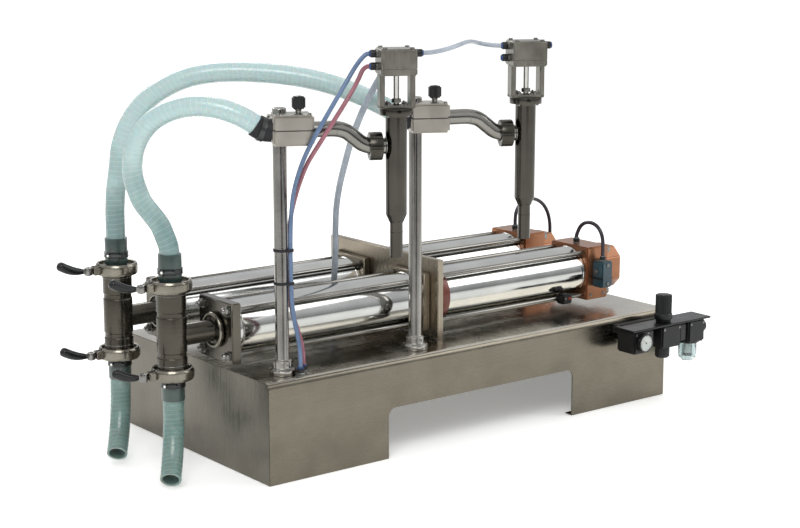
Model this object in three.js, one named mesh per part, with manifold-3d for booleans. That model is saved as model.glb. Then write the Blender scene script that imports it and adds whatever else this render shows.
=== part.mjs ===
// Piston liquid filler: two horizontal piston metering units on a sheet-steel base, with two filling heads.
// Millimetres, +Z up, +X along the machine from the valves to the drive cylinders, +Y to the back.
// Machine coordinates start at the base's front left bottom corner. The whole group is then moved so that the
// origin is at the bottom centre of everything except the hoses and tubes.

import * as THREE from "three";
import { mergeVertices } from "three/addons/utils/BufferGeometryUtils.js";
import Module from "manifold-3d";

const wasm = await Module();
wasm.setup();

// ---------------------------------------------------------------- driving dimensions

const GAP = 0.3; // between pieces that touch
const FINE = 28; // sides of the barrels
const ROUND = 18; // sides of medium round pieces
const SMALL = 10; // sides of small round pieces

const BASE_LENGTH = 1000;
const BASE_DEPTH = 520;
const BASE_HEIGHT = 188;
const SHEET = 2.5;
const BEND_RADIUS = 12;
const LEFT_FOOT = 267; // right edge of the left foot
const RIGHT_FOOT = 735; // left edge of the right foot
const APRON_BOTTOM = 97;
const APRON_FILLET = 16;
const LIP = 20; // inward lips that the feet stand on

const UNIT_Y = { front: 150, rear: 345 };
const AXIS_Z = 262;
const HEAD_X = { left: 64, right: 368 };

const VALVE_X = -105;
const VALVE_RADIUS = 27;
const VALVE_BORE = 21;
const VALVE_BOTTOM = 196; // face of the lower ferrule
const VALVE_TOP = 356; // face of the upper ferrule
const SPIGOT_LOW = 166;
const SPIGOT_HIGH = 390;
const SPIGOT_RADIUS = 19;
const FERRULE_RADIUS = 32;
const PORT_RADIUS = 20;
const PORT_BORE = 15;
const SEAT_THICKNESS = 8;
const INLET_SEAT_Z = 226;
const OUTLET_SEAT_Z = 300;
const CLAMP_RADIUS = 39;
const CLAMP_HEIGHT = 22;
const CLAMP_BOSS = 51; // reach of the clamp's boss from the valve axis
const LEVER_PIVOT = 59; // from the valve axis
const LEVER_LENGTH = 62;
const LEVER_TILT = 12; // degrees upwards

const CAP_SIZE = 112; // square caps and flanges
const METERING_CAP_X = -14;
const METERING_CAP_THICKNESS = 20;
const METERING_RADIUS = 50;
const METERING_BORE = 45;
const METERING_FLANGE_X = 425;
const METERING_FLANGE_THICKNESS = 14.5;
const TIE_OFFSET = 42;
const TIE_RADIUS = 4;
const PISTON_X = 12;
const PISTON_THICKNESS = 40;

const MID_PLATE_X = 440;
const MID_PLATE_THICKNESS = 14;
const MID_PLATE_FRONT = 70;
const MID_PLATE_BACK = 425;
const MID_PLATE_TOP = 346;

const DRIVE_FLANGE_X = 454.5;
const DRIVE_FLANGE_THICKNESS = 16;
const DRIVE_RADIUS = 52;
const DRIVE_BORE = 48;
const DRIVE_CAP_X = 860;
const DRIVE_CAP_THICKNESS = 60;
const DRIVE_CUSHION_LENGTH = 50;
const DRIVE_CUSHION_SIZE = 88;
const DRIVE_TIE_OFFSET = 44;
const DRIVE_TIE_RADIUS = 5;
const DRIVE_PISTON_X = 492;
const DRIVE_PISTON_THICKNESS = 30;
const ROD_RADIUS = 10;

const POST_Y = 50;
const POST_RADIUS = 12.5;
const POST_TOP = 668;
const POST_FLANGE_RADIUS = 24;
const HEAD_Z = 632;
const ARM_ANGLE = -27; // degrees about +Z, the way the product pipes point
const PIPE_OFFSET = -30; // from the post's axis towards the front
const PIPE_RADIUS = 14;
const PIPE_BORE = 11;
const ELBOW_RADIUS = 36;
const ELBOW_START = -20;
const ELBOW_TAIL = 6; // straight stub after the elbow, which the hose meets
const ELBOW_ANGLE = 35;
const NOZZLE_REACH = 203;
const NOZZLE_TIP = 400;
const NOZZLE_FLANGE_Z = 655;
const NOZZLE_FLANGE_TOP = 666;
const INLET_Z = 600;
const YOKE_TOP = 725;
const ACTUATOR_TOP = 771;
const ACTUATOR_SIZE = 64;
const AIR_PORT_HIGH = 762;
const AIR_PORT_LOW = 740;
const AIR_PORT_LENGTH = 16;
const AIR_PORT_RADIUS = 7;
const UNION_X = 166; // where the product pipe ends, inside the union's nut
const UNION_RADIUS = 25;
const UNION_SKIRT = 14;
const UNION_FLANGE = 10;
const TIP_RADIUS = 11.5;
const TIP_BORE = 9.8;
const TIP_LIP = 8.5;
const CHAMBER_RADIUS = 19;
const CHAMBER_BORE = 15.5;
const NOZZLE_FLANGE_RADIUS = 30;
const STEM_RADIUS = 5;
const STEM_HOLE = 5.6;
const STEM_PLUG_RADIUS = 8.2;
const STEM_PISTON_RADIUS = 26.6;
const STEM_PISTON_BOTTOM = 739;
const STEM_PISTON_THICKNESS = 10;
const ACTUATOR_BORE = 27;
const ACTUATOR_WALL = 7;
const YOKE_SPREAD = 27; // from the nozzle's axis to the middle of each bar
const YOKE_BAR = 4.5; // half the thickness of each bar
const YOKE_WIDTH = 15; // half the width of each bar
const YOKE_FOOT = 6;

const OUTLET_HOSE_RADIUS = 18;
const SUCTION_HOSE_RADIUS = 19;
const AIR_TUBE_RADIUS = 4;
const DROP_TUBE_RADIUS = 6;

const AIR_UNIT_LEFT = 832;
const AIR_UNIT_RIGHT = 1064;
const AIR_UNIT_Y = -45;
const AIR_UNIT_TOP = 172;
const AIR_BLOCK_BOTTOM = 124;
const AIR_BLOCK_DEPTH = 26; // half the depth of each of the three blocks
const AIR_BAR_DEPTH = 13; // half the depth of the bar that joins them
const AIR_BAR_BOTTOM = 138;
const AIR_BAR_TOP = 162;
const AIR_STRIP_DEPTH = 28; // half the depth of the strip along the top
const AIR_STRIP_TOP = 175;
const AIR_BRACKET_RIGHT = 990;
const AIR_BRACKET_HEIGHT = 17;
const AIR_KNOB_X = 946;
const AIR_KNOB_RADIUS = 17;
const AIR_KNOB_HEIGHT = 58;
const AIR_BONNET_RADIUS = 15;
const AIR_BONNET_HEIGHT = 26;
const GAUGE_X = 860;
const GAUGE_Z = 148;
const GAUGE_RADIUS = 19;
const GAUGE_THICKNESS = 12;
const BOWL_X = 1021;
const BOWL_RADIUS = 19;
const BOWL_BOTTOM = 82;

const SPEED_VALVE_X = 889;
const SPEED_VALVE_HALF = 15; // half its length along the machine
const SPEED_VALVE_BOTTOM = 235;
const SPEED_VALVE_TOP = 290;
const SPEED_VALVE_DEPTH = 31;
const SPEED_PORT_Y = 78;
const REED_SWITCH_X = 786;
const REED_SWITCH_LENGTH = 26;
const REED_SWITCH_HALF = 10;

// ---------------------------------------------------------------- shapes

// A closed geometry as a manifold-3d solid, without the slivers that a lathe leaves on its axis.
function toSolid(geometry) {
  const plain = geometry.clone();
  plain.deleteAttribute("normal");
  plain.deleteAttribute("uv");
  const merged = mergeVertices(plain, 1e-4);
  const corners = merged.index.array;
  const kept = [];
  for (let i = 0; i < corners.length; i += 3) {
    const [a, b, c] = [corners[i], corners[i + 1], corners[i + 2]];
    if (a !== b && b !== c && c !== a) kept.push(a, b, c);
  }
  return new wasm.Manifold(
    new wasm.Mesh({
      numProp: 3,
      vertProperties: merged.attributes.position.array,
      triVerts: new Uint32Array(kept),
    }),
  );
}

function toGeometry(solid) {
  const mesh = solid.getMesh();
  const geometry = new THREE.BufferGeometry();
  geometry.setAttribute("position", new THREE.BufferAttribute(mesh.vertProperties, 3));
  geometry.setIndex(new THREE.BufferAttribute(mesh.triVerts, 1));
  const flat = geometry.toNonIndexed();
  flat.computeVertexNormals();
  return flat;
}

function join(...geometries) {
  return toGeometry(geometries.map(toSolid).reduce((sum, next) => sum.add(next)));
}

function cut(geometry, ...tools) {
  return toGeometry(tools.map(toSolid).reduce((rest, tool) => rest.subtract(tool), toSolid(geometry)));
}

function box(x0, x1, y0, y1, z0, z1) {
  const geometry = new THREE.BoxGeometry(x1 - x0, y1 - y0, z1 - z0);
  return geometry.translate((x0 + x1) / 2, (y0 + y1) / 2, (z0 + z1) / 2);
}

// A geometry made along +Z is turned to run along another axis.
const TURN = {
  x: (geometry) => geometry.rotateY(Math.PI / 2),
  y: (geometry) => geometry.rotateX(-Math.PI / 2),
  z: (geometry) => geometry,
};

function cylinder(radius, length, sides, axis, x, y, z) {
  const geometry = new THREE.CylinderGeometry(radius, radius, length, sides);
  geometry.rotateX(Math.PI / 2).translate(0, 0, length / 2);
  return TURN[axis](geometry).translate(x, y, z);
}

// A hole's flats stand clear of the given radius all round, so a shaft of that radius fits in it.
function hole(radius, length, sides, axis, x, y, z) {
  return cylinder(radius / Math.cos(Math.PI / sides), length, sides, axis, x, y, z);
}

// A body of revolution: profile points are [radius, height], and the profile closes on itself or on the axis.
function turned(profile, sides, axis, x, y, z) {
  const points = profile.map(([radius, height]) => new THREE.Vector2(radius, height));
  const geometry = new THREE.LatheGeometry(points, sides);
  geometry.rotateX(Math.PI / 2);
  return TURN[axis](geometry).translate(x, y, z);
}

function ring(outer, inner, length, sides, axis, x, y, z) {
  const profile = [[inner, 0], [outer, 0], [outer, length], [inner, length], [inner, 0]];
  return turned(profile, sides, axis, x, y, z);
}

// A round tube along a route of [x, y, z] points.
function sweep(route, radius, sides, steps) {
  const path = new THREE.CatmullRomCurve3(route.map((point) => new THREE.Vector3(...point)));
  const section = new THREE.Shape().absarc(0, 0, radius, 0, 2 * Math.PI);
  return new THREE.ExtrudeGeometry(section, { steps, extrudePath: path, curveSegments: sides / 2 });
}

// ---------------------------------------------------------------- materials and nodes

const STEEL = { color: 0x9b9a95, roughness: 0.32, metalness: 1 };
const POLISHED = { color: 0xd3d5d4, roughness: 0.14, metalness: 1 };
const BLACK = { color: 0x17181a, roughness: 0.5, metalness: 0 };
const COPPER = { color: 0xb5764f, roughness: 0.38, metalness: 0.7 };
const RUST = { color: 0x7d4432, roughness: 0.45, metalness: 0.5 };
const HOSE = { color: 0xa9c8c2, roughness: 0.25, metalness: 0 };
const WHITE_PLASTIC = { color: 0xe8e8e2, roughness: 0.4, metalness: 0 };
const TEAL = { color: 0x22424a, roughness: 0.4, metalness: 0.2 };
const BLUE_TUBE = { color: 0x4a6488, roughness: 0.35, metalness: 0 };
const RED_TUBE = { color: 0x8f4f4c, roughness: 0.35, metalness: 0 };
const GREY_TUBE = { color: 0xa3a8ae, roughness: 0.35, metalness: 0 };
const DARK_TUBE = { color: 0x2b2530, roughness: 0.35, metalness: 0 };
const BOWL = { color: 0xc9d2d2, roughness: 0.12, metalness: 0 };

function node(name, geometry, finish) {
  const mesh = new THREE.Mesh(geometry, new THREE.MeshStandardMaterial(finish));
  mesh.name = name;
  return mesh;
}

// ---------------------------------------------------------------- base

// The folded sheet's inverted U, extruded along the machine.
function foldedSheet(inset, x0, x1) {
  const back = BASE_DEPTH - inset;
  const top = BASE_HEIGHT - inset;
  const bend = BEND_RADIUS - inset;
  const outline = new THREE.Shape();
  outline.moveTo(inset, 0);
  outline.lineTo(back, 0);
  outline.lineTo(back, top - bend);
  outline.absarc(back - bend, top - bend, bend, 0, Math.PI / 2, false);
  outline.lineTo(inset + bend, top);
  outline.absarc(inset + bend, top - bend, bend, Math.PI / 2, Math.PI, false);
  outline.closePath();
  const geometry = new THREE.ExtrudeGeometry(outline, { depth: x1 - x0, bevelEnabled: false, curveSegments: 5 });
  // The outline's X becomes the machine's Y, its Y becomes Z, and the extrusion runs along +X.
  const turn = new THREE.Matrix4().makeBasis(
    new THREE.Vector3(0, 1, 0),
    new THREE.Vector3(0, 0, 1),
    new THREE.Vector3(1, 0, 0),
  );
  return geometry.applyMatrix4(turn).translate(x0, 0, 0);
}

function apronCut() {
  const outline = new THREE.Shape();
  outline.moveTo(LEFT_FOOT, -1);
  outline.lineTo(RIGHT_FOOT, -1);
  outline.lineTo(RIGHT_FOOT, APRON_BOTTOM - APRON_FILLET);
  outline.absarc(RIGHT_FOOT - APRON_FILLET, APRON_BOTTOM - APRON_FILLET, APRON_FILLET, 0, Math.PI / 2, false);
  outline.lineTo(LEFT_FOOT + APRON_FILLET, APRON_BOTTOM);
  outline.absarc(LEFT_FOOT + APRON_FILLET, APRON_BOTTOM - APRON_FILLET, APRON_FILLET, Math.PI / 2, Math.PI, false);
  outline.closePath();
  const depth = BASE_DEPTH + 4;
  const geometry = new THREE.ExtrudeGeometry(outline, { depth, bevelEnabled: false, curveSegments: 5 });
  return geometry.rotateX(Math.PI / 2).translate(0, depth - 2, 0);
}

const BULKHEADS = [[84, 22], [100, 36], [315, 247]];
const BULKHEAD_HEIGHT = 14;

function baseHousing() {
  const shell = cut(
    foldedSheet(0, 0, BASE_LENGTH),
    foldedSheet(SHEET, SHEET, BASE_LENGTH - SHEET).translate(0, 0, -1e-2),
    apronCut(),
  );
  const lips = [
    box(1, LIP, 1, BASE_DEPTH - 1, 0, SHEET),
    box(BASE_LENGTH - LIP, BASE_LENGTH - 1, 1, BASE_DEPTH - 1, 0, SHEET),
    box(1, LEFT_FOOT, 1, LIP, 0, SHEET),
    box(RIGHT_FOOT, BASE_LENGTH - 1, 1, LIP, 0, SHEET),
    box(1, LEFT_FOOT, BASE_DEPTH - LIP, BASE_DEPTH - 1, 0, SHEET),
    box(RIGHT_FOOT, BASE_LENGTH - 1, BASE_DEPTH - LIP, BASE_DEPTH - 1, 0, SHEET),
  ];
  const fittings = BULKHEADS.map(([x, y]) =>
    cylinder(8, BULKHEAD_HEIGHT + 1, SMALL, "z", x, y, BASE_HEIGHT - 1),
  );
  return node("base_housing", join(shell, ...lips, ...fittings), STEEL);
}

function midPlate() {
  const plate = box(
    MID_PLATE_X,
    MID_PLATE_X + MID_PLATE_THICKNESS,
    MID_PLATE_FRONT,
    MID_PLATE_BACK,
    BASE_HEIGHT + GAP,
    MID_PLATE_TOP,
  );
  const holes = Object.values(UNIT_Y).map((y) =>
    hole(ROD_RADIUS + 1, 40, SMALL, "x", MID_PLATE_X - 10, y, AXIS_Z),
  );
  return node("mid_plate", cut(plate, ...holes), STEEL);
}

// ---------------------------------------------------------------- one metering unit

function valveBody(y) {
  const outside = [
    cylinder(VALVE_RADIUS, VALVE_TOP - VALVE_BOTTOM, ROUND, "z", VALVE_X, y, VALVE_BOTTOM),
    cylinder(FERRULE_RADIUS, 12, ROUND, "z", VALVE_X, y, VALVE_BOTTOM - 6),
    cylinder(FERRULE_RADIUS, 12, ROUND, "z", VALVE_X, y, VALVE_TOP - 6),
    cylinder(SPIGOT_RADIUS, 40, ROUND, "z", VALVE_X, y, SPIGOT_LOW),
    cylinder(SPIGOT_RADIUS, 40, ROUND, "z", VALVE_X, y, SPIGOT_HIGH - 40),
    cylinder(PORT_RADIUS, METERING_CAP_X - GAP - VALVE_X, ROUND, "x", VALVE_X, y, AXIS_Z),
    cylinder(FERRULE_RADIUS - 4, 10, ROUND, "x", METERING_CAP_X - GAP - 10, y, AXIS_Z),
  ];
  const seatTop = (z) => z + SEAT_THICKNESS;
  const bores = [
    cylinder(PORT_BORE, SPIGOT_HIGH - SPIGOT_LOW + 2, ROUND, "z", VALVE_X, y, SPIGOT_LOW - 1),
    cylinder(PORT_BORE, METERING_CAP_X - VALVE_X + 1, ROUND, "x", VALVE_X, y, AXIS_Z),
    hole(VALVE_BORE, OUTLET_SEAT_Z - seatTop(INLET_SEAT_Z), ROUND, "z", VALVE_X, y, seatTop(INLET_SEAT_Z)),
    hole(VALVE_BORE, VALVE_TOP - 6 - seatTop(OUTLET_SEAT_Z), ROUND, "z", VALVE_X, y, seatTop(OUTLET_SEAT_Z)),
  ];
  return cut(join(...outside), ...bores);
}

function clampRing(y, z) {
  const bottom = z - CLAMP_HEIGHT / 2;
  const boss = box(VALVE_X - CLAMP_BOSS, VALVE_X - CLAMP_RADIUS + 3, y - 9, y + 9, z - 8, z + 8);
  const hinge = box(VALVE_X - 7, VALVE_X + 7, y + CLAMP_RADIUS - 3, y + CLAMP_RADIUS + 7, z - 8, z + 8);
  const way = hole(FERRULE_RADIUS + GAP, CLAMP_HEIGHT + 2, ROUND, "z", VALVE_X, y, bottom - 1);
  return cut(join(cylinder(CLAMP_RADIUS, CLAMP_HEIGHT, ROUND, "z", VALVE_X, y, bottom), boss, hinge), way);
}

// A lever about its vertical pin, made at the pin and pointing along -X.
function clampLever(y, z) {
  const arm = box(-LEVER_LENGTH, 0, -5, 5, -4, 4);
  arm.rotateY(THREE.MathUtils.degToRad(LEVER_TILT));
  const eye = cylinder(7, 14, SMALL, "z", 0, 0, -7);
  return join(arm, eye).translate(VALVE_X - LEVER_PIVOT, y, z);
}

function poppet(y, z) {
  const profile = [[0, 0], [18, 0], [18, 5], [5, 9], [5, 22], [0, 22]];
  return turned(profile, ROUND, "z", VALVE_X, y, z);
}

function tieRods(x, length, y, offset, radius) {
  const corners = [[-1, -1], [-1, 1], [1, -1], [1, 1]];
  return corners.map(([dy, dz]) => cylinder(radius, length, SMALL, "x", x, y + dy * offset, AXIS_Z + dz * offset));
}

function squarePlate(x, thickness, size, y) {
  return box(x, x + thickness, y - size / 2, y + size / 2, AXIS_Z - size / 2, AXIS_Z + size / 2);
}

function meteringCap(y) {
  const rear = METERING_CAP_X + METERING_CAP_THICKNESS;
  const plate = squarePlate(METERING_CAP_X, METERING_CAP_THICKNESS, CAP_SIZE, y);
  const rods = tieRods(rear - 1, METERING_FLANGE_X - GAP - rear + 1, y, TIE_OFFSET, TIE_RADIUS);
  return cut(join(plate, ...rods), cylinder(PORT_BORE, 40, ROUND, "x", METERING_CAP_X - 5, y, AXIS_Z));
}

function meteringBarrel(y) {
  const front = METERING_CAP_X + METERING_CAP_THICKNESS + GAP;
  const barrel = cylinder(METERING_RADIUS, METERING_FLANGE_X - front + 2, FINE, "x", front, y, AXIS_Z);
  const flange = squarePlate(METERING_FLANGE_X, METERING_FLANGE_THICKNESS, CAP_SIZE, y);
  const bore = cylinder(METERING_BORE, METERING_FLANGE_X - front + 1, FINE, "x", front - 1, y, AXIS_Z);
  const rodHole = hole(ROD_RADIUS + GAP, 60, ROUND, "x", METERING_FLANGE_X - 10, y, AXIS_Z);
  return cut(join(barrel, flange), bore, rodHole);
}

function meteringPiston(y) {
  const face = METERING_BORE - GAP;
  const groove = face - 3;
  const profile = [[0, 0], [face - 4, 0], [face, 4], [face, 14], [groove, 15], [groove, 25], [face, 26]];
  profile.push([face, PISTON_THICKNESS], [0, PISTON_THICKNESS]);
  return turned(profile, FINE, "x", PISTON_X, y, AXIS_Z);
}

function pistonRod(y) {
  const start = PISTON_X + PISTON_THICKNESS + GAP;
  const rod = cylinder(ROD_RADIUS, DRIVE_PISTON_X - start + 5, ROUND, "x", start, y, AXIS_Z);
  const piston = cylinder(DRIVE_BORE - GAP, DRIVE_PISTON_THICKNESS, FINE, "x", DRIVE_PISTON_X, y, AXIS_Z);
  return join(rod, piston);
}

function driveFlange(y) {
  const plate = squarePlate(DRIVE_FLANGE_X, DRIVE_FLANGE_THICKNESS, CAP_SIZE + 6, y);
  const port = cylinder(7, 14, SMALL, "z", DRIVE_FLANGE_X + 8, y, AXIS_Z + CAP_SIZE / 2 + 2);
  return cut(join(plate, port), hole(ROD_RADIUS + GAP, 40, ROUND, "x", DRIVE_FLANGE_X - 10, y, AXIS_Z));
}

function driveBarrel(y) {
  const start = DRIVE_FLANGE_X + DRIVE_FLANGE_THICKNESS + GAP;
  return ring(DRIVE_RADIUS, DRIVE_BORE, DRIVE_CAP_X - GAP - start, FINE, "x", start, y, AXIS_Z);
}

function driveCap(y) {
  const start = DRIVE_FLANGE_X + DRIVE_FLANGE_THICKNESS + GAP;
  const end = DRIVE_CAP_X + DRIVE_CAP_THICKNESS;
  const top = AXIS_Z + CAP_SIZE / 2;
  const pieces = [
    squarePlate(DRIVE_CAP_X, DRIVE_CAP_THICKNESS, CAP_SIZE, y),
    squarePlate(end - 1, DRIVE_CUSHION_LENGTH + 1, DRIVE_CUSHION_SIZE, y),
    ...tieRods(start, DRIVE_CAP_X - start + 1, y, DRIVE_TIE_OFFSET, DRIVE_TIE_RADIUS),
    cylinder(7, 13, SMALL, "z", DRIVE_CAP_X + 21, y, top - 1),
  ];
  if (y === UNIT_Y.rear) {
    const face = end + DRIVE_CUSHION_LENGTH;
    pieces.push(box(face - 1, face + 23, y - 8, y + 8, AXIS_Z - 4, AXIS_Z + 12));
    pieces.push(cylinder(7, 17, SMALL, "z", face + 15, y, AXIS_Z + 11));
  }
  return join(...pieces);
}

function meteringUnit(side) {
  const y = UNIT_Y[side];
  const group = new THREE.Group();
  group.add(
    node(side + "_valve_body", valveBody(y), POLISHED),
    node(side + "_outlet_clamp", clampRing(y, VALVE_TOP), POLISHED),
    node(side + "_inlet_clamp", clampRing(y, VALVE_BOTTOM), POLISHED),
    node(side + "_outlet_clamp_lever", clampLever(y, VALVE_TOP), BLACK),
    node(side + "_inlet_clamp_lever", clampLever(y, VALVE_BOTTOM), BLACK),
    node(side + "_inlet_poppet", poppet(y, INLET_SEAT_Z + SEAT_THICKNESS + GAP), POLISHED),
    node(side + "_outlet_poppet", poppet(y, OUTLET_SEAT_Z + SEAT_THICKNESS + GAP), POLISHED),
    node(side + "_metering_cap", meteringCap(y), POLISHED),
    node(side + "_metering_barrel", meteringBarrel(y), POLISHED),
    node(side + "_metering_piston", meteringPiston(y), WHITE_PLASTIC),
    node(side + "_piston_rod", pistonRod(y), POLISHED),
    node(side + "_drive_flange", driveFlange(y), RUST),
    node(side + "_drive_barrel", driveBarrel(y), POLISHED),
    node(side + "_drive_cap", driveCap(y), COPPER),
  );
  return group;
}

// ---------------------------------------------------------------- one filling head

function post(x) {
  const bottom = BASE_HEIGHT + GAP;
  const profile = [
    [0, bottom],
    [POST_FLANGE_RADIUS, bottom],
    [POST_FLANGE_RADIUS, bottom + 8],
    [POST_RADIUS + 5, bottom + 12],
    [POST_RADIUS + 5, bottom + 24],
    [POST_RADIUS, bottom + 26],
    [POST_RADIUS, POST_TOP - 2],
    [POST_RADIUS - 2, POST_TOP],
    [0, POST_TOP],
  ];
  return turned(profile, ROUND, "z", x, POST_Y, 0);
}

// The pieces below are made in the head's own frame: its origin is on the post's axis at the height of the
// product pipe, and its X runs along the pipe. level() gives a height in that frame.
const level = (z) => z - HEAD_Z;

function postClamp() {
  const block = box(-17, 56, -48, 18, -27, 27);
  const postBore = hole(POST_RADIUS + GAP, 60, ROUND, "z", 0, 0, -30);
  const pipeBore = hole(PIPE_RADIUS + GAP, 90, ROUND, "x", -25, PIPE_OFFSET, 0);
  return cut(block, postBore, pipeBore);
}

function clampKnob() {
  const lobes = 5;
  const outline = new THREE.Shape();
  for (let i = 0; i < 4 * lobes; i += 1) {
    const angle = (2 * Math.PI * i) / (4 * lobes);
    const radius = 11 + 1.6 * Math.cos(lobes * angle);
    const [x, y] = [radius * Math.cos(angle), radius * Math.sin(angle)];
    if (i === 0) outline.moveTo(x, y);
    else outline.lineTo(x, y);
  }
  outline.closePath();
  const head = new THREE.ExtrudeGeometry(outline, { depth: 22, bevelEnabled: false });
  const stem = cylinder(5, 10, SMALL, "z", 0, 0, 0);
  return join(head.translate(0, 0, 9), stem).translate(30, PIPE_OFFSET, 27 + GAP);
}

const PIPE_DIP = level(INLET_Z);

// A point on the hose end's elbow, turned so many degrees up from the pipe, then carried on in a straight line.
function elbowPoint(degrees, straight) {
  const angle = THREE.MathUtils.degToRad(degrees);
  const x = ELBOW_START - ELBOW_RADIUS * Math.sin(angle) - straight * Math.cos(angle);
  return [x, PIPE_OFFSET, ELBOW_RADIUS * (1 - Math.cos(angle)) + straight * Math.sin(angle)];
}

function productPipe() {
  const route = [
    elbowPoint(ELBOW_ANGLE, ELBOW_TAIL),
    elbowPoint(ELBOW_ANGLE, 0),
    elbowPoint(ELBOW_ANGLE / 2, 0),
    [ELBOW_START, PIPE_OFFSET, 0],
    [20, PIPE_OFFSET, 0],
    [60, PIPE_OFFSET, 0],
    [96, PIPE_OFFSET, 0],
    [113, PIPE_OFFSET, 0.15 * PIPE_DIP],
    [128, PIPE_OFFSET, 0.5 * PIPE_DIP],
    [143, PIPE_OFFSET, 0.85 * PIPE_DIP],
    [160, PIPE_OFFSET, PIPE_DIP],
    [UNION_X - GAP, PIPE_OFFSET, PIPE_DIP],
  ];
  return cut(sweep(route, PIPE_RADIUS, 12, 16), sweep(stretched(route), PIPE_BORE, 8, 16));
}

// The same route with each end carried 2 mm further, for a bore that comes out at both ends.
function stretched(route) {
  const points = route.map((point) => new THREE.Vector3(...point));
  const carry = (end, next) => end.clone().addScaledVector(end.clone().sub(next).normalize(), 2);
  const first = carry(points[0], points[1]);
  const last = carry(points.at(-1), points.at(-2));
  return [first, ...points, last].map((point) => point.toArray());
}

function nozzleBody() {
  const profile = [
    [TIP_LIP, NOZZLE_TIP],
    [TIP_RADIUS, NOZZLE_TIP],
    [TIP_RADIUS, NOZZLE_TIP + 62],
    [CHAMBER_RADIUS, NOZZLE_TIP + 78],
    [CHAMBER_RADIUS, NOZZLE_FLANGE_Z],
    [NOZZLE_FLANGE_RADIUS, NOZZLE_FLANGE_Z],
    [NOZZLE_FLANGE_RADIUS, NOZZLE_FLANGE_TOP],
    [STEM_HOLE, NOZZLE_FLANGE_TOP],
    [STEM_HOLE, NOZZLE_FLANGE_Z],
    [CHAMBER_BORE, NOZZLE_FLANGE_Z - 4],
    [CHAMBER_BORE, NOZZLE_TIP + 80],
    [TIP_BORE, NOZZLE_TIP + 64],
    [TIP_BORE, NOZZLE_TIP + 10],
    [TIP_LIP, NOZZLE_TIP + 8],
    [TIP_LIP, NOZZLE_TIP],
  ];
  const column = turned(profile, ROUND, "z", NOZZLE_REACH, PIPE_OFFSET, -HEAD_Z);
  const stubLength = NOZZLE_REACH - 17 - UNION_X;
  const stub = ring(PIPE_RADIUS, PIPE_BORE, stubLength, SMALL, "x", UNION_X, PIPE_OFFSET, PIPE_DIP);
  const flangeBore = PIPE_RADIUS - 1;
  const flange = ring(UNION_RADIUS, flangeBore, UNION_FLANGE, ROUND, "x", UNION_X + 1, PIPE_OFFSET, PIPE_DIP);
  const skirtBore = PIPE_RADIUS + 2;
  const skirt = ring(UNION_RADIUS, skirtBore, UNION_SKIRT, ROUND, "x", UNION_X - 12, PIPE_OFFSET, PIPE_DIP);
  const way = cylinder(PIPE_BORE, 30, SMALL, "x", UNION_X, PIPE_OFFSET, PIPE_DIP);
  return cut(join(column, stub, flange, skirt), way);
}

function actuator(side) {
  const half = ACTUATOR_SIZE / 2;
  const [x, y] = [NOZZLE_REACH, PIPE_OFFSET];
  const plateTop = YOKE_TOP + 8;
  const block = box(x - half, x + half, y - half, y + half, level(YOKE_TOP), level(ACTUATOR_TOP));
  const footBottom = level(NOZZLE_FLANGE_TOP) + GAP;
  const footTop = level(NOZZLE_FLANGE_TOP) + YOKE_FOOT;
  const slab = (x0, x1, z0, z1) => box(x0, x1, y - YOKE_WIDTH, y + YOKE_WIDTH, z0, z1);
  const bars = [x - YOKE_SPREAD, x + YOKE_SPREAD].map((middle) =>
    slab(middle - YOKE_BAR, middle + YOKE_BAR, footBottom, level(YOKE_TOP) + 1),
  );
  const footReach = YOKE_SPREAD + YOKE_BAR;
  const foot = cut(
    slab(x - footReach, x + footReach, footBottom, footTop),
    hole(9, 20, SMALL, "z", x, y, footBottom - 5),
  );
  const port = (axis, px, py, height) =>
    cylinder(AIR_PORT_RADIUS, AIR_PORT_LENGTH + 1, SMALL, axis, px, py, level(height));
  const ports = [
    port("x", x - half - AIR_PORT_LENGTH, y, AIR_PORT_HIGH),
    port("x", x - half - AIR_PORT_LENGTH, y, AIR_PORT_LOW),
    port("x", x + half - 1, y, AIR_PORT_HIGH),
  ];
  if (side === "left") ports.push(port("y", x, y + half - 1, AIR_PORT_LOW));
  const boreHeight = ACTUATOR_TOP - ACTUATOR_WALL - plateTop;
  const bore = hole(ACTUATOR_BORE, boreHeight, ROUND, "z", x, y, level(plateTop));
  const rodHole = hole(STEM_HOLE, 20, SMALL, "z", x, y, level(YOKE_TOP) - 5);
  return cut(join(block, ...bars, foot, ...ports), bore, rodHole);
}

function shutoffStem() {
  const profile = [
    [0, NOZZLE_TIP + 1],
    [STEM_PLUG_RADIUS, NOZZLE_TIP + 1],
    [STEM_PLUG_RADIUS, NOZZLE_TIP + 7],
    [STEM_RADIUS, NOZZLE_TIP + 12],
    [STEM_RADIUS, STEM_PISTON_BOTTOM],
    [STEM_PISTON_RADIUS, STEM_PISTON_BOTTOM],
    [STEM_PISTON_RADIUS, STEM_PISTON_BOTTOM + STEM_PISTON_THICKNESS],
    [0, STEM_PISTON_BOTTOM + STEM_PISTON_THICKNESS],
  ];
  return turned(profile, ROUND, "z", NOZZLE_REACH, PIPE_OFFSET, -HEAD_Z);
}

function fillingHead(side) {
  const group = new THREE.Group();
  const arm = new THREE.Group();
  arm.position.set(HEAD_X[side], POST_Y, HEAD_Z);
  arm.rotation.z = THREE.MathUtils.degToRad(ARM_ANGLE);
  arm.add(
    node(side + "_post_clamp", postClamp(), STEEL),
    node(side + "_clamp_knob", clampKnob(), BLACK),
    node(side + "_product_pipe", productPipe(), STEEL),
    node(side + "_nozzle_body", nozzleBody(), STEEL),
    node(side + "_actuator", actuator(side), STEEL),
    node(side + "_shutoff_stem", shutoffStem(), POLISHED),
  );
  group.add(node(side + "_post", post(HEAD_X[side]), STEEL), arm);
  return group;
}

// ---------------------------------------------------------------- air fittings on the drive side

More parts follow.
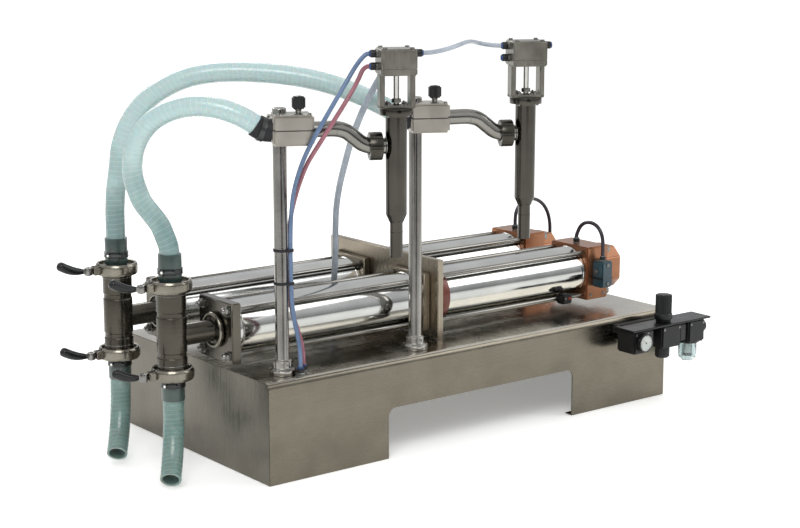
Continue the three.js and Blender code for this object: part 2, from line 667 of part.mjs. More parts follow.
function airUnit() {
  const y = AIR_UNIT_Y;
  const block = (x, half) =>
    box(x - half, x + half, y - AIR_BLOCK_DEPTH, y + AIR_BLOCK_DEPTH, AIR_BLOCK_BOTTOM, AIR_UNIT_TOP);
  const across = (x0, x1, half, z0, z1) => box(x0, x1, y - half, y + half, z0, z1);
  const body = join(
    block(GAUGE_X, 22),
    block(AIR_KNOB_X, 28),
    block(BOWL_X, 24),
    across(GAUGE_X, AIR_UNIT_RIGHT, AIR_BAR_DEPTH, AIR_BAR_BOTTOM, AIR_BAR_TOP),
    across(AIR_UNIT_LEFT, AIR_UNIT_RIGHT - 4, AIR_STRIP_DEPTH, AIR_UNIT_TOP - 1, AIR_STRIP_TOP),
    box(AIR_UNIT_LEFT + 10, AIR_BRACKET_RIGHT, y + 20, -GAP, AIR_STRIP_TOP - AIR_BRACKET_HEIGHT, AIR_STRIP_TOP),
    cylinder(AIR_BONNET_RADIUS, AIR_BONNET_HEIGHT, ROUND, "z", AIR_KNOB_X, y, AIR_BLOCK_BOTTOM - 25),
  );
  const knob = join(
    cylinder(AIR_KNOB_RADIUS, AIR_KNOB_HEIGHT, ROUND, "z", AIR_KNOB_X, y, AIR_STRIP_TOP + GAP),
    cylinder(AIR_KNOB_RADIUS + 1.5, 12, ROUND, "z", AIR_KNOB_X, y, AIR_STRIP_TOP + 5),
  );
  const bowlTop = AIR_BLOCK_BOTTOM - GAP;
  const bowlProfile = [
    [0, BOWL_BOTTOM],
    [BOWL_RADIUS - 7, BOWL_BOTTOM],
    [BOWL_RADIUS, BOWL_BOTTOM + 8],
    [BOWL_RADIUS, bowlTop],
    [0, bowlTop],
  ];
  const gaugeFront = y - AIR_BLOCK_DEPTH - GAP - GAUGE_THICKNESS;
  const gauge = cylinder(GAUGE_RADIUS, GAUGE_THICKNESS, ROUND, "y", GAUGE_X, gaugeFront, GAUGE_Z);
  const group = new THREE.Group();
  group.add(
    node("regulator_body", body, BLACK),
    node("regulator_knob", knob, BLACK),
    node("filter_bowl", turned(bowlProfile, ROUND, "z", BOWL_X, y, 0), BOWL),
    node("pressure_gauge", gauge, WHITE_PLASTIC),
  );
  return group;
}

function speedValve() {
  const face = UNIT_Y.front - CAP_SIZE / 2 - GAP;
  const [left, right] = [SPEED_VALVE_X - SPEED_VALVE_HALF, SPEED_VALVE_X + SPEED_VALVE_HALF];
  const block = box(left, right, face - SPEED_VALVE_DEPTH, face, SPEED_VALVE_BOTTOM, SPEED_VALVE_TOP);
  const port = cylinder(6, 11, SMALL, "z", SPEED_VALVE_X, SPEED_PORT_Y, SPEED_VALVE_TOP - 1);
  return node("speed_valve", join(block, port), TEAL);
}

// A clip that hooks over the lower front tie rod of the front drive cylinder.
function reedSwitch() {
  const y = UNIT_Y.front - DRIVE_TIE_OFFSET;
  const z = AXIS_Z - DRIVE_TIE_OFFSET;
  const right = REED_SWITCH_X + REED_SWITCH_LENGTH;
  const body = box(REED_SWITCH_X, right, y - 20, y + 2, z - REED_SWITCH_HALF, z + REED_SWITCH_HALF);
  const rodWay = hole(DRIVE_TIE_RADIUS + GAP, 2 * REED_SWITCH_LENGTH, ROUND, "x", REED_SWITCH_X - 16, y, z);
  return node("reed_switch", cut(body, rodWay), BLACK);
}

// ---------------------------------------------------------------- hoses and air tubes

// Each route starts where the hose or tube leaves its fitting and ends where it goes in or stops.
const ROUTES = {
  front_outlet_hose: [
    [-105, 150, 390.3], [-105, 150, 402], [-106, 151, 424], [-111, 155, 444], [-117, 161, 464],
    [-128, 171, 484], [-139, 181, 504], [-145, 187, 524], [-150, 190, 545], [-151, 192, 566],
    [-148, 189, 595], [-140, 181, 621], [-126, 169, 644], [-108, 150, 661], [-88, 129, 671],
    [-69.5, 109.5, 674.5], [-54, 94, 673.7], [-40.2, 79.8, 670.6], [-27.5, 68, 665.6], [-15.8, 58.9, 659.6],
    [-5.3, 52.1, 653.2], [3.6, 47.2, 646.8], [9.4, 44.2, 642.2],
  ],
  rear_outlet_hose: [
    [-105, 345, 390.3], [-105, 345, 405], [-105, 345, 430], [-105, 345, 460], [-103, 343, 500],
    [-98, 340, 540], [-92, 336, 586], [-77, 325, 630], [-52, 308, 667], [-20, 286, 693],
    [12, 262, 709], [43, 238, 716], [75, 213, 718.2], [111, 186, 716.8], [147, 160, 712.8],
    [182, 134, 705.9], [215.5, 110.1, 695.7], [244.7, 89.2, 683.3], [268.7, 72, 670.8], [286.6, 59.7, 660.5],
    [298.6, 52.2, 653], [307.6, 47.2, 646.8], [313.4, 44.2, 642.2],
  ],
  front_suction_hose: [
    [-105, 150, 165.7], [-105, 150, 159], [-105, 150, 150], [-105, 150, 140], [-105.4, 149.5, 127],
    [-106.4, 148.2, 114], [-108.1, 146, 101], [-110.6, 142.8, 88], [-113.6, 138.9, 76], [-117.4, 134, 64.5],
    [-121.7, 128.4, 53.4], [-126.6, 122.1, 43], [-132.1, 115.1, 33.4], [-138, 107.4, 24.6], [-144.5, 99.1, 16.6],
  ],
  rear_suction_hose: [
    [-105, 345, 165.7], [-105, 345, 159], [-105, 345, 150], [-105, 345, 140], [-105.4, 344.5, 127],
    [-106.4, 343.2, 114], [-108.1, 341, 101], [-110.6, 337.8, 88], [-113.6, 333.9, 76], [-117.4, 329, 64.5],
    [-121.7, 323.4, 53.4], [-126.6, 317.1, 43], [-132.1, 310.1, 33.4], [-138, 302.4, 24.6], [-144.5, 294.1, 16.6],
  ],
  left_open_air_tube: [
    [84, 22, 202.3], [84, 22, 215], [83.2, 23.2, 238], [80.8, 27, 264], [77.8, 32, 292],
    [75.8, 35.2, 326], [75.2, 36, 370], [75.2, 36, 430], [75.2, 33.5, 472], [75, 26, 512],
    [74.5, 12, 546], [75, -11, 586], [86, -27, 623], [101, -37, 654], [120, -43, 686],
    [141, -45.5, 716], [160, -44.7, 740], [176.2, -43.1, 755], [184.5, -45.3, 761.5], [187.8, -46.9, 762],
  ],
  left_close_air_tube: [
    [100, 36, 202.3], [100, 36, 215], [98.4, 38, 238], [94, 43.5, 264], [88, 49.5, 292],
    [83.4, 52.6, 326], [82, 53, 370], [82, 52.5, 420], [83.5, 48, 466], [85.5, 35, 508],
    [86, 17, 543], [87, -3, 574], [95, -24, 606], [110, -39.5, 640], [129, -47.5, 671],
    [150, -49.5, 700], [166.5, -46.5, 720.5], [177, -44.7, 734.8], [184.6, -45.3, 739.6], [187.7, -46.7, 740],
  ],
  link_air_tube: [
    [274.3, -90.8, 762], [285, -96.2, 762.5], [300, -101.5, 764.5], [320, -104, 768], [345, -99, 772],
    [375, -84, 775], [405, -63, 774], [430, -46, 771], [450, -38, 767.5], [468, -36.5, 764.5],
    [480, -41, 762.8], [491.8, -46.7, 762],
  ],
  drop_air_tube: [
    [253.3, -25.5, 740], [258, -16.5, 740], [262, -6, 737], [263.5, 5, 728], [261, 18, 711],
    [256, 31, 690], [250, 46, 662], [244, 62, 628], [241, 80, 590], [241, 99, 548],
    [244, 120, 505], [252, 142, 460], [266, 165, 415], [282, 188, 370], [295, 209, 325],
    [305, 227, 288], [312, 240, 252], [315, 246, 225], [315, 247, 202.3],
  ],
  front_air_arch: [
    [889, 78, 300.3], [889, 78, 315], [888.5, 78.5, 330], [888, 81.5, 344], [887, 89, 356],
    [886, 100, 363.5], [885, 114, 366], [884, 128, 363.5], [883, 139, 356], [882, 146.5, 344],
    [881, 149.8, 334], [881, 150, 330.3],
  ],
  rear_air_arch: [
    [881, 345, 330.3], [881, 345, 342], [883, 345, 356], [891, 345, 370], [904, 345, 379],
    [920, 345, 383], [938, 345, 381], [955, 345, 373], [969, 345, 360], [979, 345, 342],
    [984, 345, 322], [985, 345, 304], [985, 345, 290.3],
  ],
};

const HOSES = [
  ["front_outlet_hose", OUTLET_HOSE_RADIUS, 10, 22, HOSE],
  ["rear_outlet_hose", OUTLET_HOSE_RADIUS, 10, 24, HOSE],
  ["front_suction_hose", SUCTION_HOSE_RADIUS, 10, 8, HOSE],
  ["rear_suction_hose", SUCTION_HOSE_RADIUS, 10, 8, HOSE],
  ["left_open_air_tube", AIR_TUBE_RADIUS, 8, 24, BLUE_TUBE],
  ["left_close_air_tube", AIR_TUBE_RADIUS, 8, 24, RED_TUBE],
  ["link_air_tube", AIR_TUBE_RADIUS, 8, 14, GREY_TUBE],
  ["drop_air_tube", DROP_TUBE_RADIUS, 8, 24, GREY_TUBE],
  ["front_air_arch", AIR_TUBE_RADIUS, 8, 10, DARK_TUBE],
  ["rear_air_arch", AIR_TUBE_RADIUS, 8, 14, DARK_TUBE],
];

// ---------------------------------------------------------------- assembly

const leverTilt = THREE.MathUtils.degToRad(LEVER_TILT);
const LEFT_REACH = VALVE_X - LEVER_PIVOT - LEVER_LENGTH * Math.cos(leverTilt) - 4 * Math.sin(leverTilt);
const RIGHT_REACH = AIR_UNIT_RIGHT;
const armTurn = THREE.MathUtils.degToRad(ARM_ANGLE);
// The actuator's foremost corner.
const FRONT_REACH =
  POST_Y
  + (NOZZLE_REACH + ACTUATOR_SIZE / 2) * Math.sin(armTurn)
  + (PIPE_OFFSET - ACTUATOR_SIZE / 2) * Math.cos(armTurn);
const BACK_REACH = BASE_DEPTH;

const machine = new THREE.Group();
machine.name = "piston_liquid_filler";
machine.position.set(-(LEFT_REACH + RIGHT_REACH) / 2, -(FRONT_REACH + BACK_REACH) / 2, 0);
machine.add(baseHousing(), midPlate());
machine.add(meteringUnit("front"), meteringUnit("rear"));
machine.add(fillingHead("left"), fillingHead("right"));
machine.add(airUnit(), speedValve(), reedSwitch());
for (const [name, radius, sides, steps, finish] of HOSES) {
  machine.add(node(name, sweep(ROUTES[name], radius, sides, steps), finish));
}

export default machine;
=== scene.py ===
"""Looks of a piston liquid filler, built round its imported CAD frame.

Parts are drawn in machine millimetres: the origin is the base's front left bottom corner, +X runs from the
valves to the drive cylinders, +Y to the back and +Z up. Piece.build() carries them over to the row frame, in
metres.
"""

import math

import bmesh
import bpy
from mathutils import Matrix, Vector, geometry


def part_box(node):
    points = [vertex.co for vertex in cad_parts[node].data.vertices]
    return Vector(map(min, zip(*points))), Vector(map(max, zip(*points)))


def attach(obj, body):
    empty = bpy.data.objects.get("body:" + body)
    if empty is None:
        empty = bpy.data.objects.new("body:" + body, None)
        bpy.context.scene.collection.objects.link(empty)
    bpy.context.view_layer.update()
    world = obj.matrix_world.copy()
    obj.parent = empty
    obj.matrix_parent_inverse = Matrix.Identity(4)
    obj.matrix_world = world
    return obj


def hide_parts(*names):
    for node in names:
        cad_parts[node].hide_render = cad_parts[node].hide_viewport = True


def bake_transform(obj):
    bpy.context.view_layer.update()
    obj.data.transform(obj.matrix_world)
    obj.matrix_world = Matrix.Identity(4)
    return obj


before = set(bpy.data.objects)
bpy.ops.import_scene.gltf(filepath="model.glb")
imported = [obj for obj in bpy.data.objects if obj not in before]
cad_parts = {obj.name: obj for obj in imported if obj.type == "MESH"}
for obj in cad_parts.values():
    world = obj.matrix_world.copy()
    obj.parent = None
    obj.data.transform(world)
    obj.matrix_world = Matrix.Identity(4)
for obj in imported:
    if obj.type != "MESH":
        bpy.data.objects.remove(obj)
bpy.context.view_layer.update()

MM = 0.001
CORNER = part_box("base_housing")[0]

# ---------------- driving dimensions, millimetres

GAP = 0.3
BASE_LENGTH, BASE_DEPTH, BASE_HEIGHT = 1000, 520, 188
SHEET = 2.5
BEND = 12
LEFT_FOOT, RIGHT_FOOT = 267, 735
APRON_BOTTOM, APRON_FILLET = 97, 16
LIP = 20
BULKHEADS = [(84, 22), (100, 36), (315, 247)]

UNIT_Y = {"front": 150, "rear": 345}
UNIT_GAP = UNIT_Y["rear"] - UNIT_Y["front"]
AXIS_Z = 262
VALVE_X = -105
VALVE_BOTTOM, VALVE_TOP = 196, 356
SPIGOT_LOW, SPIGOT_HIGH = 166, 390
PORT_Z = {"outlet": VALVE_TOP, "inlet": VALVE_BOTTOM}
LEVER_PIVOT = 59

CAP = 112
METERING_CAP, METERING_FACE, METERING_FLANGE = -14, 6, 425
ROD_BORE = 10.4
MID_PLATE, MID_PLATE_END = 440, 454
MID_PLATE_FRONT, MID_PLATE_BACK, MID_PLATE_TOP = 70, 425, 346
DRIVE_FLANGE, DRIVE_START = 454.5, 470.8
DRIVE_CAP, DRIVE_CUSHION, DRIVE_END = 860, 920, 970
TIE, DRIVE_TIE = 42, 44

HEAD_X = {"left": 64, "right": 368}
POST_Y, POST_TOP, POST_RADIUS = 50, 668, 12.5
HEAD_Z = 632
ARM_ANGLE = -27
PIPE_OFFSET = -30
INLET_Z = 600
REACH = 203
TIP_Z, FLANGE_TOP, YOKE_TOP, ACTUATOR_TOP = 400, 666, 725, 771

AIR_Y, AIR_TOP, AIR_END = -45, 172, 1064
GAUGE_X, REGULATOR_X, BOWL_X = 860, 946, 1021

# ---------------- shapes: (corners, faces), millimetres

BEVEL_OVER = math.radians(32)
SMOOTH_UNDER = math.radians(38)
HELIX_STEPS, HELIX_SIDES = 30, 5

AIM = {
    "x": Matrix.Rotation(math.pi / 2, 4, "Y"),
    "-x": Matrix.Rotation(-math.pi / 2, 4, "Y"),
    "y": Matrix.Rotation(-math.pi / 2, 4, "X"),
    "-y": Matrix.Rotation(math.pi / 2, 4, "X"),
    "z": Matrix.Identity(4),
    "-z": Matrix.Rotation(math.pi, 4, "X"),
}

# Turns for an outline drawn as (y, z) and carried along X, and for one drawn as (x, z) and carried along Y.
YZ_ALONG_X = Matrix(((0, 0, 1, 0), (1, 0, 0, 0), (0, 1, 0, 0), (0, 0, 0, 1)))
XZ_ALONG_Y = Matrix(((1, 0, 0, 0), (0, 0, 1, 0), (0, 1, 0, 0), (0, 0, 0, 1)))


def at(x, y, z, aim="z"):
    """Puts a shape's origin at a point, with its own +Z aimed along an axis."""
    return Matrix.Translation((x, y, z)) @ AIM[aim]


def turn_angles(sides):
    return [2 * math.pi * i / sides for i in range(sides)]


def polar(radius, degrees):
    """A point (x, y) round the Z axis."""
    a = math.radians(degrees)
    return radius * math.cos(a), radius * math.sin(a)


def spin(degrees):
    return Matrix.Rotation(math.radians(degrees), 4, "Z")


def arc(cx, cy, radius, start, end, steps):
    """Points of an arc, with its angles in degrees."""
    angles = [math.radians(start + (end - start) * i / steps) for i in range(steps + 1)]
    return [(cx + radius * math.cos(a), cy + radius * math.sin(a)) for a in angles]


def eased(outline, radius, closed=True):
    """The outline with each corner rounded by a short curve."""
    points = [Vector(p) for p in outline]
    result = []
    for i, here in enumerate(points):
        if not closed and i in (0, len(points) - 1):
            result.append(here)
            continue
        before, after = points[i - 1], points[(i + 1) % len(points)]
        cut = min(radius, 0.45 * (here - before).length, 0.45 * (after - here).length)
        start = here + (before - here).normalized() * cut
        end = here + (after - here).normalized() * cut
        middle = (start + 2 * here + end) / 4
        result += [start, middle, end]
    return [tuple(p) for p in result]


def lathe(profile, sides=48):
    """A body of revolution about Z. A profile of (radius, height) that leaves the axis closes on itself."""
    verts, rows = [], []
    turns = turn_angles(sides)
    for radius, height in profile:
        if radius < 1e-6:
            rows.append([len(verts)] * sides)
            verts.append(Vector((0, 0, height)))
        else:
            rows.append(list(range(len(verts), len(verts) + sides)))
            verts += [Vector((radius * math.cos(a), radius * math.sin(a), height)) for a in turns]
    pairs = list(zip(rows, rows[1:]))
    if profile[0][0] > 1e-6:
        pairs.append((rows[-1], rows[0]))
    faces = []
    for low, high in pairs:
        for i in range(sides):
            j = (i + 1) % sides
            face = list(dict.fromkeys([low[i], low[j], high[j], high[i]]))
            if len(face) > 2:
                faces.append(face)
    return verts, faces


def turned(profile, ease=0.8, sides=48):
    """A lathe shape with eased corners."""
    return lathe(eased(profile, ease, closed=profile[0][0] > 1e-6), sides)


def rod(radius, length, ease=0.8, sides=32):
    return turned([(0, 0), (radius, 0), (radius, length), (0, length)], ease, sides)


def ring(outer, inner, length, ease=0.8, sides=48):
    return turned([(inner, 0), (outer, 0), (outer, length), (inner, length)], ease, sides)


def torus(major, minor):
    return lathe([(major + x, y) for x, y in arc(0, 0, minor, 0, 330, 11)])


def fluted(radius, depth, flutes, sides):
    """The outline of a knob with soft flutes round it."""
    radii = [(a, radius + depth * math.cos(flutes * a)) for a in turn_angles(sides)]
    return [(r * math.cos(a), r * math.sin(a)) for a, r in radii]


def from_bmesh(mesh):
    mesh.verts.index_update()
    verts = [v.co.copy() for v in mesh.verts]
    faces = [[v.index for v in face.verts] for face in mesh.faces]
    mesh.free()
    return verts, faces


def bevel_sharp(mesh, ease, steps):
    sharp = [e for e in mesh.edges if e.calc_face_angle(0) > BEVEL_OVER]
    if ease > 0 and sharp:
        bmesh.ops.bevel(mesh, geom=sharp, offset=ease, segments=steps, affect="EDGES", clamp_overlap=True)


def block(x0, x1, y0, y1, z0, z1, ease=1.2, steps=2):
    """A box with rounded edges."""
    mesh = bmesh.new()
    size = Matrix.Diagonal((x1 - x0, y1 - y0, z1 - z0, 1))
    middle = Matrix.Translation(((x0 + x1) / 2, (y0 + y1) / 2, (z0 + z1) / 2))
    bmesh.ops.create_cube(mesh, size=1, matrix=middle @ size)
    bevel_sharp(mesh, ease, steps)
    return from_bmesh(mesh)


def brick(x, y, half_x, half_y, low, high, ease, steps=2):
    """A block about a point (x, y)."""
    return block(x - half_x, x + half_x, y - half_y, y + half_y, low, high, ease, steps)


def prism(outline, low, high, ease=0.6, steps=2):
    """An outline of (x, y) carried from one height to another, with rounded rims."""
    mesh = bmesh.new()
    face = mesh.faces.new([mesh.verts.new((x, y, low)) for x, y in outline])
    grown = bmesh.ops.extrude_face_region(mesh, geom=[face])
    lifted = [v for v in grown["geom"] if isinstance(v, bmesh.types.BMVert)]
    bmesh.ops.translate(mesh, verts=lifted, vec=(0, 0, high - low))
    bmesh.ops.recalc_face_normals(mesh, faces=mesh.faces)
    bevel_sharp(mesh, ease, steps)
    return from_bmesh(mesh)


def hexagon(flats):
    return arc(0, 0, flats / math.sqrt(3), 0, 300, 5)


def in_scene(name, data):
    obj = bpy.data.objects.new(name, data)
    bpy.context.scene.collection.objects.link(obj)
    return obj


def face_outwards(mesh):
    shell = bmesh.new()
    shell.from_mesh(mesh)
    bmesh.ops.recalc_face_normals(shell, faces=shell.faces)
    shell.to_mesh(mesh)
    shell.free()


def combined(operation, part, *tools):
    """One shape joined with others, or cut by them."""
    made = []
    for verts, faces in (part, *tools):
        mesh = bpy.data.meshes.new("carving")
        mesh.from_pydata(verts, [], faces)
        face_outwards(mesh)
        made.append(in_scene("carving", mesh))
    body = made[0]
    for tool in made[1:]:
        cut = body.modifiers.new("cut", "BOOLEAN")
        cut.operation, cut.solver, cut.object = operation, "EXACT", tool
    bpy.context.view_layer.update()
    result = bmesh.new()
    result.from_object(body, bpy.context.evaluated_depsgraph_get())
    for obj in made:
        bpy.data.objects.remove(obj)
    return from_bmesh(result)


def carved(part, *tools):
    return combined("DIFFERENCE", part, *tools)


def placed(part, matrix):
    verts, faces = part
    return [matrix @ Vector(v) for v in verts], faces


def drill(radius, length, place, sides=32):
    """A plain rod to cut a bore with."""
    return placed(rod(radius, length, 0, sides), place)


def curve_through(points, step):
    """A centripetal Catmull-Rom curve through the points, the kind that the CAD routes follow."""
    points = [Vector(p) for p in points]
    guides = [2 * points[0] - points[1], *points, 2 * points[-1] - points[-2]]
    path = []
    for a, b, c, d in zip(guides, guides[1:], guides[2:], guides[3:]):
        t0, t1, t2 = (math.sqrt((q - p).length) for p, q in ((a, b), (b, c), (c, d)))
        leave = ((b - a) / t0 - (c - a) / (t0 + t1) + (c - b) / t1) * t1
        arrive = ((c - b) / t1 - (d - b) / (t1 + t2) + (d - c) / t2) * t1
        count = max(1, math.ceil((c - b).length / step))
        for i in range(count):
            s = i / count
            h = (2 * s**3 - 3 * s**2 + 1, s**3 - 2 * s**2 + s, 3 * s**2 - 2 * s**3, s**3 - s**2)
            path.append(h[0] * b + h[1] * leave + h[2] * c + h[3] * arrive)
    path.append(points[-1])
    return path


def frames_along(path):
    """For each point of a path, the point and two directions square to it, which don't twist."""
    ahead = [(path[min(i + 1, len(path) - 1)] - path[max(i - 1, 0)]).normalized() for i in range(len(path))]
    side = ahead[0].orthogonal().normalized()
    result = []
    for point, way in zip(path, ahead):
        side = (side - way * side.dot(way)).normalized()
        result.append((point, side, way.cross(side)))
    return result


def skinned(rings, sides, closed):
    """Rings of ((centre, u, v), radius) joined by quads. A closed skin also joins its last ring and first."""
    verts, faces = [], []
    for (point, u, v), radius in rings:
        verts += [point + radius * (math.cos(a) * u + math.sin(a) * v) for a in turn_angles(sides)]
    for row in range(len(rings) - 1 + closed):
        low, high = row * sides, (row + 1) % len(rings) * sides
        for i in range(sides):
            j = (i + 1) % sides
            faces.append([low + i, low + j, high + j, high + i])
    return verts, faces


def sweep(path, radii, sides=24):
    """A solid tube along a path, with one radius or one for each point."""
    if not hasattr(radii, "__len__"):
        radii = [radii] * len(path)
    verts, faces = skinned(list(zip(frames_along(path), radii)), sides, False)
    first = list(range(sides))
    return verts, [*faces, first, [(len(path) - 1) * sides + i for i in first]]


def hollow_sweep(path, radius, bore, sides=32):
    """A tube with a wall along a path."""
    frames = frames_along(path)
    outside = [(frame_at, radius) for frame_at in frames]
    return skinned(outside + [(frame_at, bore) for frame_at in reversed(frames)], sides, True)


def helix(route, coil, wire, pitch):
    """A wire wound round a route."""
    path = curve_through(route, pitch / HELIX_STEPS)
    travelled, points = 0, []
    for i, (point, u, v) in enumerate(frames_along(path)):
        if i:
            travelled += (path[i] - path[i - 1]).length
        angle = 2 * math.pi * travelled / pitch
        points.append(point + coil * (math.cos(angle) * u + math.sin(angle) * v))
    return sweep(points, wire, HELIX_SIDES)


# ---------------- pieces


class Piece:
    """One Blender object, gathered from shapes."""

    def __init__(self, name, place=Matrix.Identity(4)):
        self.name, self.place = name, place
        self.verts, self.faces, self.slots, self.materials = [], [], [], []

    def add(self, part, material, matrix=Matrix.Identity(4)):
        verts, faces = part
        start = len(self.verts)
        if material not in self.materials:
            self.materials.append(material)
        self.verts += [self.place @ matrix @ Vector(v) for v in verts]
        self.faces += [[start + i for i in face] for face in faces]
        self.slots += [self.materials.index(material)] * len(faces)
        return self

    def paint(self, material, chosen):
        """Gives another material to the faces whose normal is chosen."""
        self.materials.append(material)
        for i, face in enumerate(self.faces):
            if chosen(geometry.normal([self.verts[v] for v in face])):
                self.slots[i] = len(self.materials) - 1

    def build(self, body, slot, *replaced):
        """The object in the row frame, riding on a body and standing for CAD nodes."""
        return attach(self.loose(slot, *replaced), body)

    def loose(self, slot, *replaced):
        """The same with no body yet."""
        mesh = bpy.data.meshes.new(self.name)
        mesh.from_pydata([CORNER + v * MM for v in self.verts], [], self.faces)
        for material in self.materials:
            mesh.materials.append(material)
        mesh.polygons.foreach_set("material_index", self.slots)
        face_outwards(mesh)
        mesh.polygons.foreach_set("use_smooth", [True] * len(mesh.polygons))
        mesh.set_sharp_from_angle(angle=SMOOTH_UNDER)
        obj = in_scene(self.name, mesh)
        if replaced:
            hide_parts(*replaced)
        return obj


# ---------------- materials


def colour(code):
    """A web colour as linear RGBA."""
    values = [int(code[i : i + 2], 16) / 255 for i in (1, 3, 5)]
    return (*[v / 12.92 if v <= 0.04045 else ((v + 0.055) / 1.055) ** 2.4 for v in values], 1)


# The values that most of a noise lies between.
NOISE_LOW, NOISE_HIGH = 0.3, 0.7


class Finish:
    """A material whose colour, roughness and relief come from noise in the object's own space."""

    def __init__(self, name, **sockets):
        self.material = bpy.data.materials.new(name)
        self.material.use_nodes = True
        self.tree = self.material.node_tree
        self.shader = self.tree.nodes["Principled BSDF"]
        self.coords = self.node("TexCoord").outputs["Object"]
        self.fill(self.shader, sockets)

    def fill(self, node, values):
        for socket, value in values.items():
            node.inputs[socket.replace("_", " ")].default_value = value

    def node(self, kind, **values):
        made = self.tree.nodes.new("ShaderNode" + kind)
        self.fill(made, values)
        return made

    def link(self, output, node, socket):
        self.tree.links.new(output, node.inputs[socket])

    def noise(self, scale, detail=3, stretch=(1, 1, 1), distortion=0):
        """Noise with so many cells a metre, stretched along some axes."""
        mapping = self.node("Mapping", Scale=stretch)
        texture = self.node("TexNoise", Scale=scale, Detail=detail, Distortion=distortion)
        self.link(self.coords, mapping, "Vector")
        self.link(mapping.outputs["Vector"], texture, "Vector")
        return texture.outputs["Fac"]

    def spread(self, fac, low, high, start=NOISE_LOW, end=NOISE_HIGH):
        """A noise's values carried over to a range."""
        node = self.node("MapRange", From_Min=start, From_Max=end, To_Min=low, To_Max=high)
        self.link(fac, node, "Value")
        return node.outputs["Result"]

    def total(self, first, second):
        node = self.node("Math")
        node.operation = "ADD"
        self.link(first, node, 0)
        self.link(second, node, 1)
        return node.outputs["Value"]

    def rising(self, fac, low, high):
        """A noise that tends to its lowest values below one height and to its highest ones above another."""
        split = self.node("SeparateXYZ")
        self.link(self.coords, split, "Vector")
        return self.total(self.spread(fac, -0.1, 0.1), self.spread(split.outputs["Z"], 0.25, 0.8, low, high))

    def tint(self, fac, first, second):
        """The base colour runs between two colours."""
        ramp = self.node("ValToRGB")
        for stop, place, code in zip(ramp.color_ramp.elements, (NOISE_LOW, NOISE_HIGH), (first, second)):
            stop.position, stop.color = place, colour(code)
        self.link(fac, ramp, "Fac")
        self.link(ramp.outputs["Color"], self.shader, "Base Color")

    def rough(self, fac, low, high):
        self.link(self.spread(fac, low, high), self.shader, "Roughness")

    def relief(self, fac, depth):
        """A bump so many metres deep."""
        bump = self.node("Bump", Strength=1, Distance=depth)
        self.link(fac, bump, "Height")
        self.link(bump.outputs["Normal"], self.shader, "Normal")

    def dressed(self, light, dark, patches, low, high, grain, relief, shade=None):
        """Colour and roughness from a noise of patches, and relief from a finer noise."""
        self.tint(shade or patches, dark, light)
        self.rough(patches, low, high)
        self.relief(self.noise(grain, 2), relief)
        return self.material


def metal(name, light, dark, roughness, grain, relief=0.00004, smudge=0.06):
    """Bare metal: fine grain lines along the axes where grain is small, and soft smudges of handling."""
    finish = Finish(name, Metallic=1)
    lines = finish.noise(1, 6, grain)
    patches = finish.noise(14, 4)
    finish.tint(patches, dark, light)
    mixed = finish.total(finish.spread(lines, 0, 0.5), finish.spread(patches, 0, 0.5))
    finish.rough(mixed, roughness - smudge, roughness + smudge)
    finish.relief(lines, relief)
    return finish.material


def turned_metal(name, light, dark, roughness, grain, relief=0.000008):
    """Metal from a lathe, with finer lines and fewer smudges."""
    return metal(name, light, dark, roughness, grain, relief, 0.03)


def plastic(name, light, dark, roughness, grain=2200, relief=0.00003):
    """Moulded plastic: a fine even texture with slightly worn patches."""
    finish = Finish(name, Specular_IOR_Level=0.4)
    patches = finish.noise(35, 4)
    return finish.dressed(light, dark, patches, roughness - 0.06, roughness + 0.08, grain, relief)


def paint(name, light, dark, roughness, metallic=0.0):
    """Paint or anodising over metal: faint orange peel, and wear where hands rub it."""
    finish = Finish(name, Metallic=metallic, Coat_Weight=0.25, Coat_Roughness=0.2)
    wear = finish.noise(22, 6, distortion=0.6)
    return finish.dressed(light, dark, wear, roughness - 0.07, roughness + 0.09, 900, 0.00003)


def clear(name, light, dark, roughness, transmission):
    """Clear plastic: slightly cloudy, with a soft uneven surface."""
    finish = Finish(name, Transmission_Weight=transmission, IOR=1.3)
    smoothest = max(0.02, roughness - 0.03)
    return finish.dressed(light, dark, finish.noise(25, 2), smoothest, roughness + 0.04, 180, 0.00005)


def milky(name, light, dark, roughness, painted_shade_heights=None):
    """Milky hose plastic with a faint film inside it. Given painted shade heights, its colour is painted
    darker towards the lower height and lighter above the higher one: painted shade and light.
    """
    depth = {"Subsurface_Weight": 0.35, "Subsurface_Scale": 0.01}
    finish = Finish(name, Coat_Weight=0.3, Coat_Roughness=0.15, **depth)
    film = finish.noise(22, 3)
    # painted shade: the colour noise is pushed dark below the lower painted shade height and light above the
    # higher one
    shade = finish.rising(film, *painted_shade_heights) if painted_shade_heights else film
    return finish.dressed(light, dark, film, roughness - 0.04, roughness + 0.06, 320, 0.00002, shade)


ALONG_X = (3, 700, 700)
ALONG_Z = (700, 700, 3)
ROUND_X = (900, 12, 12)
ROUND_Z = (12, 12, 900)
EVEN = (300, 300, 300)
CAST_GRAIN = (420, 420, 60)
# Heights in metres over which the milky hoses and their ribs go from painted shade below to painted light
# above
PAINTED_SHADE_HEIGHTS = (0.42, 0.62)

SHEET_X = metal("sheet_steel_x", "#787266", "#6a655a", 0.27, ALONG_X)
# The end panels' copy of the sheet steel: its grain runs upright, and its darker tone is painted shade
SHEET_ENDS_SHADED = metal("sheet_steel_ends_shaded", "#706c63", "#635f57", 0.27, ALONG_Z)
